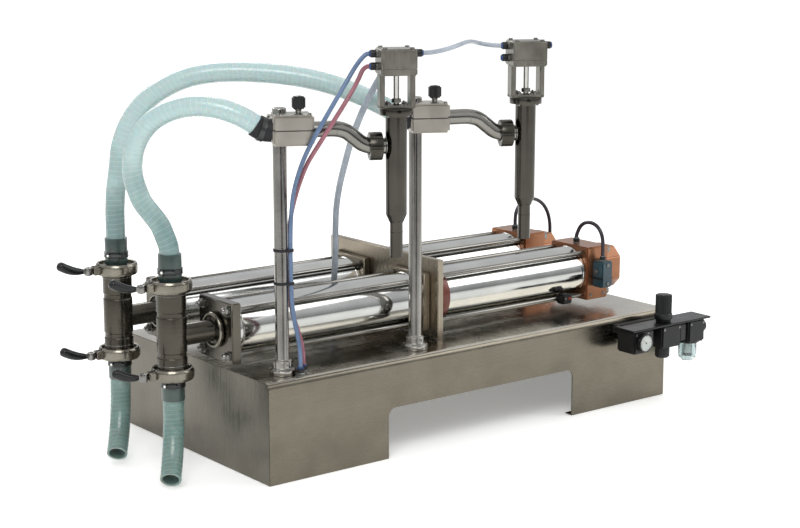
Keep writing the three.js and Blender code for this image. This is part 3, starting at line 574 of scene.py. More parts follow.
# A lighter copy of the front's sheet steel for the top faces: painted light where light falls on the table
# top
SHEET_TOP_LIT = metal("sheet_steel_top_painted_light", "#c6c1b6", "#b2ada3", 0.23, ALONG_X)
PLATE = metal("plate_steel", "#9d9384", "#877f72", 0.30, ALONG_Z)
STEEL_Z = turned_metal("steel_turned_upright", "#aaa7a1", "#989590", 0.20, ROUND_Z)
NOZZLE_STEEL = turned_metal("nozzle_steel", "#514e49", "#413e3a", 0.18, ROUND_Z)
STEEL_X = turned_metal("steel_turned_along", "#8b8984", "#7a7873", 0.22, ROUND_X)
BRIGHT_X = turned_metal("polished_along", "#bcbdba", "#abacaa", 0.10, ROUND_X, 0.000006)
BRIGHT_Z = turned_metal("polished_upright", "#b9b8b4", "#a7a6a2", 0.14, ROUND_Z, 0.000006)
CAP_STEEL = metal("cap_steel", "#5f5b53", "#4e4b45", 0.17, ALONG_Z)
CLAMP_STEEL = metal("clamp_steel", "#8b867b", "#6f6b62", 0.24, EVEN)
VALVE_STEEL = metal("valve_steel", "#534f48", "#413e38", 0.24, ROUND_Z, 0.000008)
# The nozzle's inlet union, painted dark: painted shade for the shadow it sits in
UNION_STEEL_SHADED = metal("union_steel_painted_shade", "#4f4c46", "#3c3a35", 0.28, ROUND_Z, 0.000008)
FASTENER = metal("fastener_steel", "#93928e", "#797875", 0.28, EVEN)
CAST = metal("machined_aluminium", "#8c8980", "#79766f", 0.36, CAST_GRAIN)
BLOCK_CAST = metal("clamp_aluminium", "#b3aea5", "#9d9890", 0.34, CAST_GRAIN)
COPPER = paint("copper_anodised", "#a2704f", "#83563c", 0.32, 0.85)
RUST = paint("red_brown_paint", "#6c2f22", "#57251a", 0.38, 0.3)
TEAL = paint("teal_paint", "#1f3f49", "#17323b", 0.36)
BLACK = plastic("black_plastic", "#101113", "#08090a", 0.46)
BLACK_GLOSS = plastic("black_gloss", "#0e0f11", "#070809", 0.26, 1400, 0.00001)
RUBBER = plastic("black_rubber", "#15161a", "#0b0c0e", 0.62, 3000, 0.00006)
CLIP_STEEL = metal("clip_steel", "#4c4e4d", "#383a3a", 0.35, ROUND_Z)
PTFE = plastic("piston_plastic", "#ebebe6", "#dcdcd6", 0.45)
DIAL = plastic("dial_white", "#f1f1ec", "#e2e2dc", 0.35)
PRINT = plastic("dial_print", "#1b1b1d", "#121214", 0.5)
NEEDLE = plastic("needle_red", "#a3231c", "#861b15", 0.4)
WINDOW = clear("gauge_window", "#fbfdfd", "#f1f5f5", 0.03, 1.0)
BOWL = clear("bowl_clear", "#dfe9e9", "#cfdcdc", 0.06, 0.9)
# The outlet hose and its rib are painted darker low down: painted shade.
HOSE = milky("hose_milky", "#a8bdbc", "#728c8b", 0.24, PAINTED_SHADE_HEIGHTS)
HOSE_TEAL = milky("hose_teal", "#728a84", "#617973", 0.26)
HOSE_DARK = milky("hose_dark", "#3a4c48", "#2c3b38", 0.30)
WIRE = milky("hose_rib", "#b9cac9", "#849d9b", 0.22, PAINTED_SHADE_HEIGHTS)
WIRE_TEAL = milky("hose_rib_teal", "#839a94", "#738b84", 0.22)
TUBES = {
    "blue": plastic("tube_blue", "#5d7290", "#4e617d", 0.26, 900, 0.00001),
    "red": plastic("tube_red", "#95606a", "#7f4f59", 0.26, 900, 0.00001),
    "grey": plastic("tube_grey", "#a3abb5", "#8e969f", 0.26, 900, 0.00001),
    "dark": plastic("tube_dark", "#332a33", "#241e26", 0.26, 900, 0.00001),
}
COLLARS = {
    "blue": plastic("collar_blue", "#2c4d86", "#243f70", 0.35),
    "grey": plastic("collar_grey", "#6f7478", "#5f6468", 0.35),
}

# ---------------- hardware that repeats


WASHER = 1.6
CLIP_WIDTH = 11


def washer(piece, place, radius):
    piece.add(ring(radius, radius * 0.5, WASHER, 0.3, 32), FASTENER, place)


def nut(piece, place, flats, height, ease):
    piece.add(prism(hexagon(flats), 0, height, ease), FASTENER, place)


def hex_head(piece, place, flats, height, radius):
    """A hexagon head or nut on a washer, with a domed middle."""
    washer(piece, place, radius)
    top, edge = WASHER + height, flats * 0.34
    piece.add(prism(hexagon(flats), WASHER, top, flats * 0.05), FASTENER, place)
    dome = [(0, top - 1), (edge, top - 1), (edge, top + 0.8), (flats * 0.2, top + 2), (0, top + 2.4)]
    piece.add(lathe(dome, 24), FASTENER, place)


def acorn_nut(piece, place, flats, height):
    """A cap nut on a washer."""
    washer(piece, place, flats * 0.66)
    piece.add(prism(hexagon(flats), WASHER, WASHER + height * 0.55, flats * 0.05), FASTENER, place)
    start, radius, rise = WASHER + height * 0.5, flats * 0.42, height * 0.5
    cap = [(radius * c, start + rise * s) for c, s in (polar(1, 15 * i) for i in range(6))]
    piece.add(lathe([(0, start - 1), (radius, start - 1), *cap, (0, start + rise)], 28), FASTENER, place)


def socket_screw(piece, place, radius, height):
    """A cylinder head with a hexagon socket."""
    socket = prism(hexagon(radius * 1.05), height * 0.45, height + 1, 0)
    piece.add(carved(rod(radius, height, radius * 0.14, 28), socket), FASTENER, place)


def push_fitting(piece, place, radius, length, collar):
    """A push-in air fitting: a hexagon, a black body and a coloured release collar."""
    nut(piece, place, radius * 1.85, length * 0.3, 0.5)
    wide, low, high = radius * 0.98, length * 0.25, length * 0.86
    piece.add(turned([(0, low), (wide, low), (wide, high), (0, high)], 0.8, 28), BLACK, place)
    sleeve = ring(radius * 0.78, radius * 0.56, length * 0.16, 0.4, 28)
    piece.add(sleeve, COLLARS[collar], place @ at(0, 0, length * 0.84))


def hose_clip(piece, place, radius):
    """A worm-drive clip: a banded strap with rolled edges, and its screw housing to one side."""
    half, inner, roll = CLIP_WIDTH / 2, radius - 0.2, radius + 1.6
    strap = [(inner, -half), (radius, -half), (roll, 0.8 - half), (radius + 1.1, 0), (roll, half - 0.8)]
    piece.add(lathe([*strap, (radius, half), (inner, half)]), CLIP_STEEL, place)
    piece.add(block(radius + 0.6, radius + 7, -8, 8, 0.5 - half, half - 0.5, 1), CLIP_STEEL, place)
    piece.add(rod(3.6, 22, 0.6, 20), CLIP_STEEL, place @ at(radius + 4.6, -11, 0, "y"))
    nut(piece, place @ at(radius + 4.6, -11, 0, "-y"), 7, 3.6, 0.4)


# ---------------- camera, light and floor

CAMERA_AT = (-2.0603, -2.6974, 1.0032)
CAMERA_HEADING = -37.8
CAMERA_PITCH = -11.37
LENS = 78.75
FLOOR_GLOW, FLOOR_SIZE, FLOOR_DROP = 0.3, 90, 0.0006


LIGHT_AIM = Vector((0, 0, 0.3))
LIGHTS = {
    "key": ((-2.2, -2.4, 3.2), (2.2, 1.6), 70),
    "fill": ((2.8, -1.8, 2.4), (2.0, 2.0), 35),
    "back": ((0.6, 3.2, 2.6), (2.6, 1.2), 50),
}
SKY = ((0, (0.36, 0.36, 0.37, 1)), (0.35, (0.85, 0.86, 0.88, 1)), (1, (1, 1, 1, 1)))
SKY_STRENGTH = 0.95


def make_camera():
    data = bpy.data.cameras.new("camera")
    data.lens, data.sensor_width, data.clip_end = LENS, 36, 200
    camera = in_scene("camera", data)
    camera.location = CAMERA_AT
    camera.rotation_euler = (math.radians(90 + CAMERA_PITCH), 0, math.radians(CAMERA_HEADING))
    bpy.context.scene.camera = camera


def stage_plane(name, matrix, width, depth, tone, glow=0, seen=True):
    """A flat sheet of the stage: the floor, or a card that only the metal's reflections see."""
    corners = [(x * width / 2, y * depth / 2, 0) for x, y in ((-1, -1), (1, -1), (1, 1), (-1, 1))]
    mesh = bpy.data.meshes.new(name)
    mesh.from_pydata(corners, [], [(0, 1, 2, 3)])
    finish = Finish(name + "_surface", Roughness=0.9, Emission_Strength=glow, Emission_Color=colour(tone))
    finish.tint(finish.noise(3, 2), tone, tone)
    mesh.materials.append(finish.material)
    obj = in_scene(name, mesh)
    obj.matrix_world = matrix
    obj.visible_camera = obj.visible_shadow = seen


def area_light(name, place, size, power):
    data = bpy.data.lights.new(name, "AREA")
    data.shape, data.size, data.size_y, data.energy = "RECTANGLE", size[0], size[1], power
    light = in_scene(name, data)
    light.location = place
    light.rotation_euler = (LIGHT_AIM - Vector(place)).to_track_quat("-Z", "Y").to_euler()


def make_sky():
    """A pale studio all round, darker towards the floor."""
    world = bpy.data.worlds.new("studio")
    world.use_nodes = True
    nodes, link = world.node_tree.nodes, world.node_tree.links.new
    split = nodes.new("ShaderNodeSeparateXYZ")
    ramp = nodes.new("ShaderNodeValToRGB")
    stops = ramp.color_ramp.elements
    stops.new(SKY[1][0])
    for stop, (place, shade) in zip(stops, SKY):
        stop.position, stop.color = place, shade
    link(nodes.new("ShaderNodeTexCoord").outputs["Generated"], split.inputs["Vector"])
    link(split.outputs["Z"], ramp.inputs["Fac"])
    link(ramp.outputs["Color"], nodes["Background"].inputs["Color"])
    nodes["Background"].inputs["Strength"].default_value = SKY_STRENGTH
    bpy.context.scene.world = world


def make_stage():
    ground = Matrix.Translation((0, 0, -FLOOR_DROP))
    stage_plane("floor", ground, FLOOR_SIZE, FLOOR_SIZE, "#f4f4f2", FLOOR_GLOW)
    card = Matrix.Translation((-1.6, -4.6, 0.9)) @ Matrix.Rotation(math.radians(90), 4, "X")
    stage_plane("dark_card_front", card, 2.4, 1.6, "#26262a", seen=False)
    for name, facts in LIGHTS.items():
        area_light(name, *facts)
    make_sky()
    bpy.context.scene.view_settings.view_transform = "Standard"


# ---------------- hoses and air tubes

HOSE_ROUTES = {
    "front_outlet_hose": [
        (-105, 150, 390.3), (-105, 150, 402), (-106, 151, 424), (-111, 155, 444), (-117, 161, 464),
        (-128, 171, 484), (-139, 181, 504), (-145, 187, 524), (-150, 190, 545), (-151, 192, 566),
        (-148, 189, 595), (-140, 181, 621), (-126, 169, 644), (-108, 150, 661), (-88, 129, 671),
        (-69.5, 109.5, 674.5), (-54, 94, 673.7), (-40.2, 79.8, 670.6), (-27.5, 68, 665.6),
        (-15.8, 58.9, 659.6), (-5.3, 52.1, 653.2), (3.6, 47.2, 646.8), (9.4, 44.2, 642.2),
    ],
    "rear_outlet_hose": [
        (-105, 345, 390.3), (-105, 345, 405), (-105, 345, 430), (-105, 345, 460), (-103, 343, 500),
        (-98, 340, 540), (-92, 336, 586), (-77, 325, 630), (-52, 308, 667), (-20, 286, 693), (12, 262, 709),
        (43, 238, 716), (75, 213, 718.2), (111, 186, 716.8), (147, 160, 712.8), (182, 134, 705.9),
        (215.5, 110.1, 695.7), (244.7, 89.2, 683.3), (268.7, 72, 670.8), (286.6, 59.7, 660.5),
        (298.6, 52.2, 653), (307.6, 47.2, 646.8), (313.4, 44.2, 642.2),
    ],
    "front_suction_hose": [
        (-105, 150, 165.7), (-105, 150, 159), (-105, 150, 150), (-105, 150, 140), (-105.4, 149.5, 127),
        (-106.4, 148.2, 114), (-108.1, 146, 101), (-110.6, 142.8, 88), (-113.6, 138.9, 76),
        (-117.4, 134, 64.5), (-121.7, 128.4, 53.4), (-126.6, 122.1, 43), (-132.1, 115.1, 33.4),
        (-138, 107.4, 24.6), (-144.5, 99.1, 16.6),
    ],
}
HOSE_ROUTES["rear_suction_hose"] = [(x, y + UNIT_GAP, z) for x, y, z in HOSE_ROUTES["front_suction_hose"]]
TUBE_ROUTES = {
    "left_open_air_tube": [
        (84, 22, 202.3), (84, 22, 215), (83.2, 23.2, 238), (80.8, 27, 264), (77.8, 32, 292),
        (75.8, 35.2, 326), (75.2, 36, 370), (75.2, 36, 430), (75.2, 33.5, 472), (75, 26, 512),
        (74.5, 12, 546), (75, -11, 586), (86, -27, 623), (101, -37, 654), (120, -43, 686),
        (141, -45.5, 716), (160, -44.7, 740), (176.2, -43.1, 755), (184.5, -45.3, 761.5),
        (187.8, -46.9, 762),
    ],
    "left_close_air_tube": [
        (100, 36, 202.3), (100, 36, 215), (98.4, 38, 238), (94, 43.5, 264), (88, 49.5, 292),
        (83.4, 52.6, 326), (82, 53, 370), (82, 52.5, 420), (83.5, 48, 466), (85.5, 35, 508), (86, 17, 543),
        (87, -3, 574), (95, -24, 606), (110, -39.5, 640), (129, -47.5, 671), (150, -49.5, 700),
        (166.5, -46.5, 720.5), (177, -44.7, 734.8), (184.6, -45.3, 739.6), (187.7, -46.7, 740),
    ],
    "link_air_tube": [
        (274.3, -90.8, 762), (285, -96.2, 762.5), (300, -101.5, 764.5), (320, -104, 768), (345, -99, 772),
        (375, -84, 775), (405, -63, 774), (430, -46, 771), (450, -38, 767.5), (468, -36.5, 764.5),
        (480, -41, 762.8), (491.8, -46.7, 762),
    ],
    "drop_air_tube": [
        (253.3, -25.5, 740), (258, -16.5, 740), (262, -6, 737), (263.5, 5, 728), (261, 18, 711),
        (256, 31, 690), (250, 46, 662), (244, 62, 628), (241, 80, 590), (241, 99, 548), (244, 120, 505),
        (252, 142, 460), (266, 165, 415), (282, 188, 370), (295, 209, 325), (305, 227, 288),
        (312, 240, 252), (315, 246, 225), (315, 247, 202.3),
    ],
    "front_air_arch": [
        (889, 78, 300.3), (889, 78, 315), (888.5, 78.5, 330), (888, 81.5, 344), (887, 89, 356),
        (886, 100, 363.5), (885, 114, 366), (884, 128, 363.5), (883, 139, 356), (882, 146.5, 344),
        (881, 149.8, 334), (881, 150, 330.3),
    ],
    "rear_air_arch": [
        (881, 345, 330.3), (881, 345, 342), (883, 345, 356), (891, 345, 370), (904, 345, 379),
        (920, 345, 383), (938, 345, 381), (955, 345, 373), (969, 345, 360), (979, 345, 342),
        (984, 345, 322), (985, 345, 304), (985, 345, 290.3),
    ],
}
HOSE_RADIUS, SUCTION_RADIUS, HOSE_WALL = 18, 19, 4
TUBE_RADIUS, DROP_RADIUS = 4, 6
# Heights for a hose or tube that goes over from the root to a head; only whether they are given is read.
HOSE_BENDS, TUBE_BENDS, RED_BENDS = (405, 620), (220, 700), (220, 690)
RIB_PITCH, RIB_RADIUS, RIB_SUNK = 9, 1.1, 0.7


def settle(obj, body, bends):
    """A hose or tube rides on a body; one with bend heights has its placement baked in and rides on no body.
    """
    if bends is None:
        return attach(obj, body)
    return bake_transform(obj)


def product_hose(name, radius, body="root", bends=None):
    """A milky wire-wound hose: a hollow wall with raised ribs. A suction hose is too short for a cord."""
    route = HOSE_ROUTES[name]
    wall = hollow_sweep(curve_through(route, 5), radius, radius - HOSE_WALL)
    tube = Piece(name + "_tube").add(wall, HOSE if bends else HOSE_TEAL).loose("product_hose", name)
    rib = helix(route, radius - RIB_SUNK, RIB_RADIUS, RIB_PITCH)
    wire = Piece(name + "_wire").add(rib, WIRE if bends else WIRE_TEAL).loose("product_hose")
    for piece in (tube, wire):
        settle(piece, body, bends)


def air_tube(name, shade, radius=TUBE_RADIUS, body="root", bends=None):
    route = TUBE_ROUTES[name]
    tube = Piece(name + "_tube").add(sweep(curve_through(route, 4), radius, 20), TUBES[shade])
    tube = tube.loose(f"{shade}_tube", name)
    settle(tube, body, bends)


def make_hoses():
    for unit, head in zip(UNIT_Y, HEAD_X):
        product_hose(f"{unit}_outlet_hose", HOSE_RADIUS, f"{head}_head", HOSE_BENDS)
    for unit in UNIT_Y:
        product_hose(f"{unit}_suction_hose", SUCTION_RADIUS)
    air_tube("left_open_air_tube", "blue", TUBE_RADIUS, "left_head", TUBE_BENDS)
    air_tube("left_close_air_tube", "red", TUBE_RADIUS, "left_head", RED_BENDS)
    air_tube("drop_air_tube", "grey", DROP_RADIUS, "left_head", TUBE_BENDS)
    air_tube("link_air_tube", "grey", TUBE_RADIUS, "left_head")
    air_tube("front_air_arch", "dark")
    air_tube("rear_air_arch", "dark")


# ---------------- base and mid plate

CORNERS = [(-1, -1), (-1, 1), (1, -1), (1, 1)]
QUARTERS = (45, 135, 225, 315)


def on_axis(x, y):
    """A point on a unit's axis, aimed along it."""
    return at(x, y, AXIS_Z, "x")


def cap_plate(x0, x1, size, y, ease, steps=3):
    """A square plate on a unit's axis."""
    half = size / 2
    return block(x0, x1, y - half, y + half, AXIS_Z - half, AXIS_Z + half, ease, steps)


def folded_outline(inset):
    """The folded sheet's inverted U, as (y, z)."""
    back, top, bend = BASE_DEPTH - inset, BASE_HEIGHT - inset, BEND - inset
    right = arc(back - bend, top - bend, bend, 0, 90, 10)
    left = arc(inset + bend, top - bend, bend, 90, 180, 10)
    return [(inset, -inset), (back, -inset), *right, *left]


def base_shell():
    outer = placed(prism(folded_outline(0), 0, BASE_LENGTH, 0.8), YZ_ALONG_X)
    inner = placed(prism(folded_outline(SHEET), SHEET, BASE_LENGTH - SHEET, 0), YZ_ALONG_X)
    low = APRON_BOTTOM - APRON_FILLET
    right = arc(RIGHT_FOOT - APRON_FILLET, low, APRON_FILLET, 0, 90, 8)
    left = arc(LEFT_FOOT + APRON_FILLET, low, APRON_FILLET, 90, 180, 8)
    way = prism([(LEFT_FOOT, -5), (RIGHT_FOOT, -5), *right, *left], -5, BASE_DEPTH + 5, 0)
    piece = Piece("base_shell")
    piece.add(carved(outer, inner, placed(way, XZ_ALONG_Y)), SHEET_X)
    # The top faces take the lighter copy of the sheet steel: painted light
    piece.paint(SHEET_TOP_LIT, lambda normal: normal.z > 0.85)
    # The end faces take the darker copy of the sheet steel: painted shade, with upright grain
    piece.paint(SHEET_ENDS_SHADED, lambda normal: abs(normal.x) > 0.85)
    for x0, x1 in ((1, LIP), (BASE_LENGTH - LIP, BASE_LENGTH - 1)):
        piece.add(block(x0, x1, 1, BASE_DEPTH - 1, 0, SHEET, 0.4), SHEET_ENDS_SHADED)
    for x0, x1 in ((LIP - 1, LEFT_FOOT), (RIGHT_FOOT, BASE_LENGTH - LIP + 1)):
        for y0 in (1, BASE_DEPTH - LIP):
            piece.add(block(x0, x1, y0, y0 + LIP - 1, 0, SHEET, 0.4), SHEET_X)
    for (x, y), radius in zip(BULKHEADS, (8, 8, 10)):
        washer(piece, at(x, y, BASE_HEIGHT - 0.5), radius + 3)
        push_fitting(piece, at(x, y, BASE_HEIGHT + 1), radius, 13, "blue")
    piece.build("root", "sheet_steel", "base_housing")


def mid_plate():
    sides = (MID_PLATE, MID_PLATE_END, MID_PLATE_FRONT, MID_PLATE_BACK)
    plate = block(*sides, BASE_HEIGHT + GAP, MID_PLATE_TOP, 1.4, 3)
    holes = [drill(11, 40, on_axis(MID_PLATE - 10, y)) for y in UNIT_Y.values()]
    piece = Piece("mid_plate_body").add(carved(plate, *holes), PLATE)
    for x in (MID_PLATE, MID_PLATE_END):
        bead = [Vector((x, MID_PLATE_FRONT + 2 + 3.5 * i, BASE_HEIGHT + 1.6)) for i in range(101)]
        swell = [1.7 + 0.5 * (i % 2) for i in range(101)]
        piece.add(sweep(bead, swell, 10), FASTENER)
    piece.build("root", "steel", "mid_plate")


# ---------------- one metering unit


def valve_body(side, y):
    low, high = VALVE_BOTTOM, VALVE_TOP
    groove = [(z + dz, r) for z in (226, 300) for dz, r in ((-1.4, 27), (0, 25.6), (8, 25.6), (9.4, 27))]
    ferrule = [(19, -6), (32, -6), (32, -0.6), (30.6, 0), (32, 0.6), (32, 5), (29, 7.5), (27, 10)]
    outside = [(19, SPIGOT_LOW), *[(r, low + z) for r, z in ferrule], *[(r, z) for z, r in groove]]
    outside += [*[(r, high - z) for r, z in reversed(ferrule)], (19, SPIGOT_HIGH)]
    inside = [(15, SPIGOT_HIGH), (15, 350), (21, 350), (21, 308), (15, 308), (15, 300), (21, 300), (21, 234)]
    column = placed(turned([*outside, *inside, (15, 234), (15, SPIGOT_LOW)], 0.5, 64), at(VALVE_X, y, 0))
    reach = METERING_CAP - GAP - VALVE_X
    neck = [(20, 12), (20, reach - 10), (28, reach - 7), (28, reach), (15, reach), (15, 12)]
    port = placed(turned(neck, 0.5, 48), on_axis(VALVE_X, y))
    chamber = drill(21, 66, at(VALVE_X, y, 234), 64)
    way = drill(15, reach + 2, on_axis(VALVE_X, y))
    shell = carved(combined("UNION", column, port), chamber, way)
    piece = Piece(f"{side}_valve_shell").add(shell, VALVE_STEEL)
    for z in (low + 16, high - 16):
        piece.add(torus(27, 0.7), FASTENER, at(VALVE_X, y, z))
    collar = [(28.2, 0), (31, 0), (33, 2.6), (33, 7), (31, 9.6), (28.2, 9.6)]
    piece.add(turned(collar, 0.4), CLAMP_STEEL, on_axis(METERING_CAP - 10.2, y))
    piece.build("root", "polished_steel", f"{side}_valve_body")


def clamp_ring(side, port, y, z):
    """A hinged two-half clamp with an eye bolt."""
    place = at(VALVE_X, y, z)
    band = turned([(32.3, -10.5), (36.5, -11), (39, -6), (39, 6), (36.5, 11), (32.3, 10.5)], 1.1, 64)
    gap = block(-60, -30, -1.6, 1.6, -20, 20, 0)
    piece = Piece(f"{side}_{port}_clamp_ring", place).add(carved(band, gap), CLAMP_STEEL)
    for y0, y1 in ((-9, -2), (2, 9)):
        piece.add(block(-51, -36.5, y0, y1, -8, 8, 1.8, 3), CLAMP_STEEL)
    for z0, z1 in ((-8, -3), (3, 8)):
        piece.add(block(-7, 7, 37, 46, z0, z1, 1.8, 3), CLAMP_STEEL)
    piece.add(block(-6, 6, 36.5, 44.5, -2.6, 2.6, 1), CLAMP_STEEL)
    piece.add(rod(2.6, 19, 0.6, 20), FASTENER, at(0, 42, -9.5))
    piece.add(rod(3, 16, 0.6, 20), FASTENER, at(-46, -10, 0, "y") @ Matrix.Translation((0, 0, 2)))
    piece.build("root", "steel", f"{side}_{port}_clamp")


def clamp_lever(side, port, y, z):
    """A steel eye on its pin, with a curved tapered handle."""
    piece = Piece(f"{side}_{port}_lever_handle", at(VALVE_X - LEVER_PIVOT, y, z))
    piece.add(ring(7, 2.6, 14, 0.8, 32), FASTENER, at(0, 0, -7))
    piece.add(rod(2.5, 17, 0.5, 20), FASTENER, at(0, 0, -8.5))
    piece.add(block(-17, -4, -3.4, 3.4, -3.4, 5.6, 1.2), FASTENER)
    way = [(-12, 0, 1.5), (-20, 0, 2.4), (-30, 0, 4.6), (-42, 0, 9), (-53, 0, 14.6), (-60.5, 0, 19)]
    path = curve_through(way, 1.5)
    last = len(path) - 1
    radii = [4.8 + 3.9 * math.sin(math.pi * (i / last) ** 0.8 * 0.62) for i in range(last + 1)]
    for back in range(4):
        radii[last - back] *= (0.45, 0.78, 0.92, 0.98)[back]
    piece.add(sweep(path, radii, 28), BLACK_GLOSS)
    piece.build(f"{side}_{port}_lever_body", "black_plastic", f"{side}_{port}_clamp_lever")


def metering_cap(side, y):
    plate = cap_plate(METERING_CAP, METERING_FACE, CAP, y, 2)
    piece = Piece(f"{side}_metering_cap_plate")
    piece.add(carved(plate, drill(15, 40, on_axis(METERING_CAP - 5, y))), CAP_STEEL)
    for dy, dz in CORNERS:
        place = (y + dy * TIE, AXIS_Z + dz * TIE)
        acorn_nut(piece, at(METERING_CAP, *place, "-x"), 14, 13)
        tie = rod(4, METERING_FLANGE - GAP - METERING_FACE, 0.3, 24)
        piece.add(tie, STEEL_X, at(METERING_FACE, *place, "x"))
        for x in (METERING_FLANGE - 7, METERING_FACE + 0.4):
            nut(piece, at(x, *place, "x"), 13, 6.5, 0.6)
    piece.build("root", "polished_steel", f"{side}_metering_cap")


def barrel_wall(length, bore, band, skin, band_end, skin_start, ease):
    """A barrel with a slightly wider band at each end."""
    half = [(bore, 0), (band, 0), (band, band_end), (skin, skin_start)]
    return turned([*half, *[(r, length - z) for r, z in reversed(half)]], ease, 96)


def metering_barrel(side, y):
    start = METERING_FACE + GAP
    piece = Piece(f"{side}_metering_barrel_wall")
    wall = barrel_wall(METERING_FLANGE - start, 45, 51.4, 50, 9, 10.5, 0.5)
    piece.add(wall, BRIGHT_X, on_axis(start, y))
    flange = cap_plate(METERING_FLANGE, METERING_FLANGE + 14.5, CAP, y, 1.8)
    bore = drill(ROD_BORE, 40, on_axis(METERING_FLANGE - 10, y))
    piece.add(carved(flange, bore), PLATE)
    piece.build("root", "polished_steel", f"{side}_metering_barrel")


def drive_flange(side, y):
    piece = Piece(f"{side}_drive_flange_plate")
    plate = cap_plate(DRIVE_FLANGE, DRIVE_FLANGE + 16, CAP + 6, y, 2)
    bore = drill(ROD_BORE, 40, on_axis(DRIVE_FLANGE - 10, y))
    piece.add(carved(plate, bore), RUST)
    collar = [(52.1, 0), (55, 0), (55, 20.8), (53.8, 22), (51.4, 22), (51.4, 7), (52.1, 6)]
    piece.add(turned(collar, 0.4, 96), RUST, on_axis(DRIVE_START, y))
    push_fitting(piece, at(DRIVE_FLANGE + 8, y, AXIS_Z + 59), 7, 13, "grey")
    piece.build("root", "rust_flange", f"{side}_drive_flange")


def drive_barrel(side, y):
    wall = barrel_wall(DRIVE_CAP - GAP - DRIVE_START, 48, 52, 51.3, 5, 6, 0.4)
    piece = Piece(f"{side}_drive_barrel_wall").add(wall, BRIGHT_X, on_axis(DRIVE_START, y))
    piece.build("root", "polished_steel", f"{side}_drive_barrel")


def drive_cap(side, y):
    piece = Piece(f"{side}_drive_cap_block")
    piece.add(cap_plate(DRIVE_CAP, DRIVE_CUSHION, CAP, y, 2.4, 4), COPPER)
    half, cut = 44, 20
    outline = [(half - cut, half), (cut - half, half), (-half, half - cut), (-half, cut - half)]
    outline += [(cut - half, -half), (half - cut, -half), (half, cut - half), (half, half - cut)]
    cushion = prism(outline, 0, DRIVE_END - DRIVE_CUSHION + 1, 2, 3)
    piece.add(cushion, COPPER, on_axis(DRIVE_CUSHION - 1, y))
    piece.add(ring(24, 14, 2, 0.6), FASTENER, on_axis(DRIVE_END - 0.2, y))
    for dy, dz in CORNERS:
        place = (y + dy * DRIVE_TIE, AXIS_Z + dz * DRIVE_TIE)
        piece.add(rod(5, DRIVE_CAP - DRIVE_START, 0.3, 28), STEEL_X, at(DRIVE_START, *place, "x"))
        nut(piece, at(DRIVE_START + 0.2, *place, "x"), 15, 7, 0.7)
        hex_head(piece, at(DRIVE_CUSHION, *place, "x"), 16, 8, 9.5)
    push_fitting(piece, at(DRIVE_CAP + 21, y, AXIS_Z + CAP / 2), 7, 12, "grey")
    if side == "rear":
        piece.add(block(DRIVE_END - 1, DRIVE_END + 23, y - 8, y + 8, AXIS_Z - 4, AXIS_Z + 12, 2.4, 4), BLACK)
        push_fitting(piece, at(DRIVE_END + 15, y, AXIS_Z + 11), 7, 17, "grey")
    else:
        socket_screw(piece, at(DRIVE_END - 0.4, y, AXIS_Z + 31, "x"), 4.5, 3)
    for x in (DRIVE_CAP + 12, DRIVE_CAP + 48):
        socket_screw(piece, at(x, y - CAP / 2 + 0.5, AXIS_Z - 46, "-y"), 3.6, 1.6)
    piece.build("root", "copper_aluminium", f"{side}_drive_cap")


def inner_pieces(side):
    """The moving pieces inside a unit keep their CAD shapes."""
    finishes = {"metering_piston": PTFE, "piston_rod": BRIGHT_X}
    finishes.update({f"{port}_poppet": BRIGHT_Z for port in PORT_Z})
    for name, material in finishes.items():
        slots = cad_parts[f"{side}_{name}"].data.materials
        slots.clear()
        slots.append(material)


def metering_unit(side):
    y = UNIT_Y[side]
    valve_body(side, y)
    for port, z in PORT_Z.items():
        clamp_ring(side, port, y, z)
        clamp_lever(side, port, y, z)
    for make in (metering_cap, metering_barrel, drive_flange, drive_barrel, drive_cap):
        make(side, y)
    inner_pieces(side)


# ---------------- one filling head


def head_frame(side):
    """The head's own frame: origin on the post's axis at the pipe's height, X along the pipe."""
    return at(HEAD_X[side], POST_Y, HEAD_Z) @ spin(ARM_ANGLE)


def level(z):
    """A height above the base's foot, in the head's frame."""
    return z - HEAD_Z


def hull(circles, swell):
    """The outline of a band drawn tight round several circles, each given as (x, y, radius)."""
    points = []
    for x, y, radius in circles:
        size = radius + swell
        points += [(x + size * math.cos(a), y + size * math.sin(a)) for a in turn_angles(48)]
    points.sort()
    outline = []
    for run in (points, points[::-1]):
        edge = []
        for p in run:
            while len(edge) > 1 and turns_right(edge[-2], edge[-1], p):
                edge.pop()
            edge.append(p)
        outline += edge[:-1]
    return outline


def turns_right(a, b, c):
    return (b[0] - a[0]) * (c[1] - a[1]) - (b[1] - a[1]) * (c[0] - a[0]) <= 1e-6


def tube_ties():
    """Two black bands that hold the left head's air tubes against its post."""
    circles = [(HEAD_X["left"], POST_Y, POST_RADIUS), (75.2, 36, 4), (82, 53, 4)]
    piece = Piece("left_post_ties")
    for z in (352, 412):
        band = prism(hull(circles, 1.8), z, z + 5, 0.5)
        piece.add(carved(band, prism(hull(circles, 0.3), z - 1, z + 6, 0)), RUBBER)
    piece.build("root", "black_plastic")


def post(side):
    foot = BASE_HEIGHT + GAP
    top = POST_TOP - foot
    profile = [(0, 0), (24, 0), (24, 7.6), (17.5, 11.6), (17.5, 23.6), (POST_RADIUS, 26)]
    profile += [(POST_RADIUS, top - 2), (POST_RADIUS - 2, top), (0, top)]
    piece = Piece(f"{side}_post_column", at(HEAD_X[side], POST_Y, foot))
    piece.add(turned(profile, 0.7, 48), STEEL_Z)
    for turn in QUARTERS:
        socket_screw(piece, at(*polar(20.8, turn), 7.4), 2.9, 3)
    socket_screw(piece, at(0, -17.2, 18, "-y"), 2.6, 1.8)
    piece.build("root", "steel", f"{side}_post")


